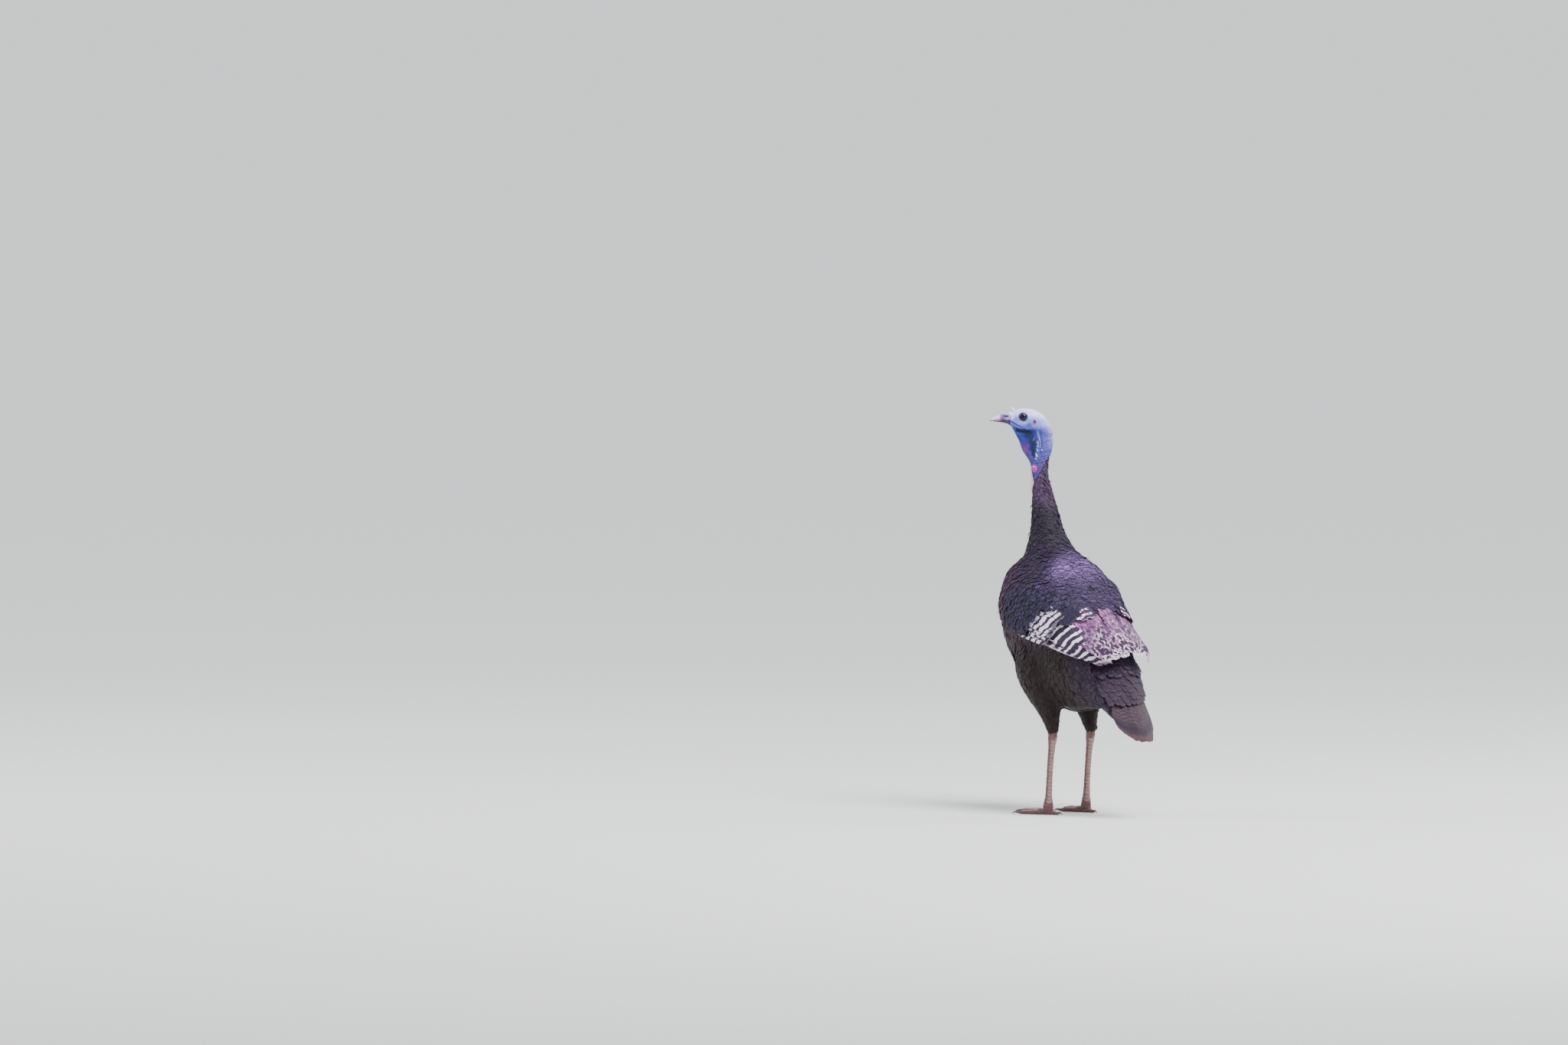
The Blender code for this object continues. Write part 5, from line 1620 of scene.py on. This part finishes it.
billShape = {
    # fineness, and how far the lower half rises to meet the upper one
    "grid": 0.00042, "smoothing": 6, "closing": 0.0009,
}
billHorn, add, surface = newMaterial("billHorn")  # horn: dusky root with growth lines, pale pinkish tip
height = add("split", add("place"))[2]
offset = add("vector", add("place"), tuple(-c for c in neckMiddle))
reach = add("measure", offset, tuple(headAhead), operation="DOT_PRODUCT")
lines = add("noise", 1100.0, 3.0)
uneven = add("MULTIPLY_ADD", lines, 0.003, reach)
colour = add("blend", add("rise", uneven, 0.067, 0.076), "#a99ce0", "#6f4f92")
colour = add("blend", add("rise", uneven, 0.077, 0.085), colour, "#e2b4de")
colour = add("blend", add("rise", uneven, 0.087, 0.096), colour, "#f4d2d6")
# painted shade: the lower bill, below the upper bill's edge, darkened nearly to black purple
colour = add("blend", add("MULTIPLY", add("rise", height, 0.7090, 0.7062), 0.94), colour, "#2e1230")
colour = add("blend", add("MULTIPLY", add("rise", lines, 0.5, 0.7), 0.30), colour, "#4a3878")
slot = [add("DIVIDE", add("SUBTRACT", value, middle), half) for value, middle, half in (
    (height, face["nostril"][1], 0.0014), (reach, face["nostril"][0], 0.0046))]
slot = add("ADD", *(add("POWER", value, 2.0) for value in slot))
# painted shade in the nostril, with softer painted shade round it
colour = add("blend", add("MULTIPLY", add("rise", slot, 4.0, 1.0), 0.55), colour, "#4c3878")
colour = add("blend", add("MULTIPLY", add("rise", slot, 1.4, 0.8), 0.9), colour, "#1c1030")
dress(surface, colour, (lines, 0.00015, 0.6), roughness=0.40, specular=0.20, flesh=0.04,
      fleshRadius=(0.003, 0.0015, 0.001), fleshScale=0.3)
for part in ("bill_upper", "bill_lower"):
    bill = finer(part.replace("_", "") + "Horn", part, billShape["grid"], billShape["smoothing"])
    points = pointsOf(bill)
    local = headPlace(points)
    normals = normalsOf(bill)
    if part == "bill_upper":
        middle, level = face["nostril"]
        hole = np.hypot((local[:, 0] - middle) / 0.0043, (local[:, 2] - level) / 0.0012)
        aside = np.abs(local[:, 1])
        lift = (0.0005 * bell(hole, 1.7, 0.5) - 0.0016 * bell(hole, 0, 1)) * ease(0.002, 0.004, aside)
        lift += 0.0004 * ease(0.0022, 0.0006, aside) * ease(0.7150, 0.7170, local[:, 2])
        lift += 0.00035 * bell(local[:, 2], 0.7078, 0.0006)
    else:
        lift = 0.00025 * bell(local[:, 2], 0.7045, 0.0008)
        shut = ease(0.2, 0.7, normals[:, 2])[:, None]  # its upper side meets the upper bill
        points = points + np.array((0, 0, billShape["closing"])) * shut
    movePoints(bill, points + normals * lift[:, None])
    finishPiece(bill, billHorn, "bill_horn", part)

snoodShape = {
    "grid": 0.0004, "smoothing": 4,
    # rings around it, how much it swells all over and how much more at its root
    "ringPitch": 0.0012, "ringDepth": 0.00018, "swell": 0.0004, "rootSwell": 0.0016,
}
snoodSkin, add, surface = newMaterial("paleSnoodSkin")  # soft wrinkled flesh
wrinkle = add("noise", 1400.0, 3.0, add("stretched", (1, 1, 3), add("place")))
dress(surface, add("blend", wrinkle, "#b9a8c2", "#e2d8e6"), (wrinkle, 0.0004, 0.8), roughness=0.5, flesh=0.15,
      fleshScale=0.4)
snood = finer("snoodSpike", "snood", snoodShape["grid"], snoodShape["smoothing"])
points = pointsOf(snood)
ringing = np.sin(points[:, 2] * 2 * math.pi / snoodShape["ringPitch"]) * snoodShape["ringDepth"]
low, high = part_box("snood")
height = np.clip((points[:, 2] - low.z) / (high.z - low.z), 0, 1)
fullness = snoodShape["rootSwell"] * (1 - height) + snoodShape["swell"]
movePoints(snood, points + normalsOf(snood) * (ringing + fullness)[:, None] * np.array((1, 1, 0.2)))
finishPiece(snood, snoodSkin, "snood_skin", "snood")
print("bill and snood set")


# bristles of the head and nape, and the strip of bare skin down the throat
bristle = {
    # how many, their length, width, how far they stand and colour; the pale ones are on the crown
    "nape": (240, 0.0036, 0.00018, 0.35, "#221a3a"),
    "crown": (520, 0.0025, 0.00022, 0.95, "#efecff"),
    "cheek": (140, 0.0020, 0.00014, 0.40, "#2a2a4c"),
}
bristleHorn = tintedMaterial("bristles", 0.5)  # thin hair-like feathers
allPoints, allNormals = pointsOf(skin), normalsOf(skin)
allLocal = headPlace(allPoints)
sideways = np.abs(allLocal[:, 1])
bareZone = (allLocal[:, 2] > 0.604) & (allLocal[:, 0] < 0.052)
eyeFar = np.hypot(allLocal[:, 0] - face["eye"][0], allLocal[:, 2] - face["eye"][1]) > 0.0125
zones = {
    "nape": bareZone & (allLocal[:, 0] < 0.006) & (allLocal[:, 2] < 0.690),
    "crown": bareZone & (allLocal[:, 2] > 0.7150) & (allLocal[:, 0] < 0.046) & (eyeFar | (sideways < 0.006)),
    "cheek": bareZone & (allLocal[:, 2] > 0.6900) & (allLocal[:, 2] < 0.7130) & eyeFar,
}
for name, (count, length, width, stand, shade) in bristle.items():
    picked = chance.choice(np.nonzero(zones[name])[0], count, replace=False)
    root, normal = allPoints[picked], allNormals[picked]
    lie = unit(np.array((0, 0, -1.0)) * 0.8 - np.array(headAhead) * 0.7 + chance.normal(0, 0.25, (count, 3)))
    lie = unit(lie - (lie * normal).sum(-1, keepdims=True) * normal)
    size = (length * np.exp(chance.normal(0, 0.25, count)))[:, None, None]
    steps = np.linspace(0, 1, 4)[None, :, None]
    line = root[:, None] - normal[:, None] * 0.0003 + lie[:, None] * size * steps
    line = line + normal[:, None] * size * (stand * steps - 0.25 * stand * steps**2)
    over = unit(np.cross(normal, lie))[:, None, None]
    across, along = np.meshgrid((-1, 1), np.linspace(0, 1, 4))
    points = line[:, :, None] + over * (across * width * (1 - 0.75 * along))[None, ..., None]
    tint = np.broadcast_to(linear(shade), (count, 3)) * np.exp(chance.normal(0, 0.2, (count, 1)))
    across = (across + 1) / 2
    hairs = vaneObject(name + "Bristles", points, normal, across, along, {"tint": tint[:, None, None, :]},
                       smallPatches(root, across, along, 0.001))
    finishPiece(hairs, bristleHorn, "neck_feather")

strand = {
    # ahead and up along it, how far to the left it hangs, and its radii
    "path": ((0.0222, 0.6250), (0.0226, 0.6160), (0.0226, 0.6050), (0.0223, 0.5950), (0.0222, 0.5870),
             (0.0224, 0.5800)),
    "side": 0.0030, "radii": (0.0010, 0.0015, 0.0018, 0.0018, 0.0015, 0.0008),
}
wattle, add, surface = newMaterial("paleWattleStrand")  # pinkish beaded flesh
dress(surface, add("blend", add("noise", 900.0, 3.0), "#b27499", "#deb9cd"), roughness=0.45, flesh=0.15,
      fleshScale=0.4)
bpy.ops.mesh.primitive_cylinder_add(
    vertices=14, radius=1, depth=1, end_fill_type="TRIFAN", location=(0, 0, 0))
strandObject = bpy.context.active_object
strandObject.name = strandObject.data.name = "throatStrand"
bpy.ops.object.mode_set(mode="EDIT")
bpy.ops.mesh.select_all(action="SELECT")
bpy.ops.mesh.subdivide(number_cuts=3)
bpy.ops.object.mode_set(mode="OBJECT")
applyModifier(strandObject, "REMESH", mode="VOXEL", voxel_size=0.055)
points = pointsOf(strandObject)
share = np.clip(0.5 - points[:, 2], 0, 1)
knots = np.linspace(0, 1, len(strand["path"]))
aheadLine, upLine = (np.interp(share, knots, [p[k] for p in strand["path"]]) for k in (0, 1))
radius = np.interp(share, knots, strand["radii"]) * (1 + 0.14 * np.sin(share * 75))
placed = np.array([headPoint(a, strand["side"], u) for a, u in zip(aheadLine, upLine)])
placed += forth * (points[:, 0] * radius)[:, None]
placed += np.array(headLeft) * (points[:, 1] * radius)[:, None]
movePoints(strandObject, placed)
strandObject.data.shade_smooth()
finishPiece(strandObject, wattle, "bare_skin")
print("bristles and strand set")


# claws
clawShape = {
    # fineness, and how far its root goes into the toe
    "grid": 0.0005, "smoothing": 4, "reach": 0.0034, "sink": 0.0006,
}
clawHorn, add, surface = newMaterial("clawHorn")  # dark dull horn with long growth lines
lines = add("noise", 900.0, 3.0)
dress(surface, add("blend", lines, "#2e272b", "#5c5052"), (lines, 0.0002, 0.6), roughness=0.42)
clawNames = pairs("toe_inner_claw_SIDE", "toe_middle_claw_SIDE", "toe_outer_claw_SIDE", "toe_hind_claw_SIDE")
claws = joinedCopy("claws", clawNames)
points = pointsOf(claws)
for name in clawNames:  # each root reaches back into its toe
    low, high = (np.array(corner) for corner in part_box(name))
    own = ((points > low - 0.0005) & (points < high + 0.0005)).all(1)
    way = (low + high) / 2 - np.array(centreOf(name.replace("_claw", "")))
    way = way * (1, 1, 0) / np.hypot(way[0], way[1])
    along = points[own] @ way
    share = ease(0.50, 0.0, (along - along.min()) / np.ptp(along))
    points[own] -= share[:, None] * (clawShape["reach"] * way + np.array((0, 0, clawShape["sink"])))
movePoints(claws, points)
remeshed(claws, clawShape["grid"], clawShape["smoothing"])
claws.data.shade_smooth()
finishPiece(claws, clawHorn, "claw_horn", *clawNames)
print("claws set")


# fewer faces where feathers hide the skin, then a light thinning of the rest
thinning = {"above": 0.175, "below": 0.581, "hiddenShare": 0.75, "triangles": 197000}
heights = pointsOf(skin)[:, 2]
covered = np.nonzero((heights > thinning["above"]) & (heights < thinning["below"]))[0]
hidden = skin.vertex_groups.new(name="hidden")
hidden.add([int(k) for k in covered], 1.0, "REPLACE")
applyModifier(skin, "DECIMATE", vertex_group="hidden", ratio=thinning["hiddenShare"])
skin.data.calc_loop_triangles()
applyModifier(skin, "DECIMATE", ratio=min(1.0, thinning["triangles"] / len(skin.data.loop_triangles)))
skin.data.shade_smooth()
print("skin thinned to", len(skin.data.polygons), "faces")


# floor, light and camera
studio = {
    "floorSize": 700, "floor": "#dcdddb", "sky": "#e8ebf2", "skyStrength": 0.90,
    # the sun lights the whole floor evenly
    "sun": {"spot": (0.2, 1.7, 3.4), "power": 2.6, "angle": 25},
    # where each lamp stands, what it is aimed at, its size and power
    "lamps": {
        "key": ((-0.1, 2.9, 3.2), (0, 0, 0.45), 1.8, 190),
        "head": ((0.10, 0.25, 1.45), tuple(eyeMiddle), 0.30, 2.6),
        "side": ((-2.8, 1.0, 2.0), (0, 0, 0.4), 2.0, 45),
        "rim": ((2.4, -2.4, 2.6), (0, 0, 0.45), 1.6, 60),
    },
}
bpy.ops.mesh.primitive_plane_add(size=studio["floorSize"], location=(0, 0, 0))
floor = bpy.context.active_object
floor.name = floor.data.name = "floor"
floorPaint, _, surface = newMaterial("paleFloor")  # matt pale studio floor
surface.inputs["Base Color"].default_value = (*linear(studio["floor"]), 1)
surface.inputs["Roughness"].default_value = 0.9
floor.data.materials.append(floorPaint)

world = bpy.data.worlds.new("studio")
bpy.context.scene.world = world
world.use_nodes = True
sky = world.node_tree.nodes["Background"]
sky.inputs["Color"].default_value = (*linear(studio["sky"]), 1)
sky.inputs["Strength"].default_value = studio["skyStrength"]


def hang(name, kind, spot, aim, energy, **settings):
    # a lamp at a spot, turned to what it lights
    light = bpy.data.lights.new(name, kind)
    light.energy = energy
    for key, value in settings.items():
        setattr(light, key, value)
    lamp = bpy.data.objects.new(name, light)
    lamp.location = spot
    lamp.rotation_euler = (Vector(aim) - Vector(spot)).to_track_quat("-Z", "Y").to_euler()
    bpy.context.scene.collection.objects.link(lamp)


sun = studio["sun"]
hang("sun", "SUN", sun["spot"], (0, 0, 0), sun["power"], angle=math.radians(sun["angle"]))
for name, (spot, aim, size, power) in studio["lamps"].items():
    hang(name, "AREA", spot, aim, power, size=size)

view = {
    # where the camera stands, in degrees and metres, and how far it aims aside and up
    "turn": 142, "rise": 3, "distance": 23.55, "aside": -0.505, "up": 0.525, "lens": 300,
}
viewTurn, viewRise = math.radians(view["turn"]), math.radians(view["rise"])
back = Vector((math.sin(viewTurn) * math.cos(viewRise), -math.cos(viewTurn) * math.cos(viewRise),
               math.sin(viewRise)))
acrossView = Vector((math.cos(viewTurn), math.sin(viewTurn), 0))
aim = Vector((0, footY, 0)) + acrossView * view["aside"] + Vector((0, 0, view["up"]))
camera = bpy.data.objects.new("camera", bpy.data.cameras.new("camera"))
camera.data.lens = view["lens"]
camera.data.sensor_width = 36
camera.data.clip_end = 2000
camera.location = aim + back * view["distance"]
camera.rotation_euler = (-back).to_track_quat("-Z", "Y").to_euler()
bpy.context.scene.collection.objects.link(camera)
bpy.context.scene.camera = camera
print("floor, light and camera set")
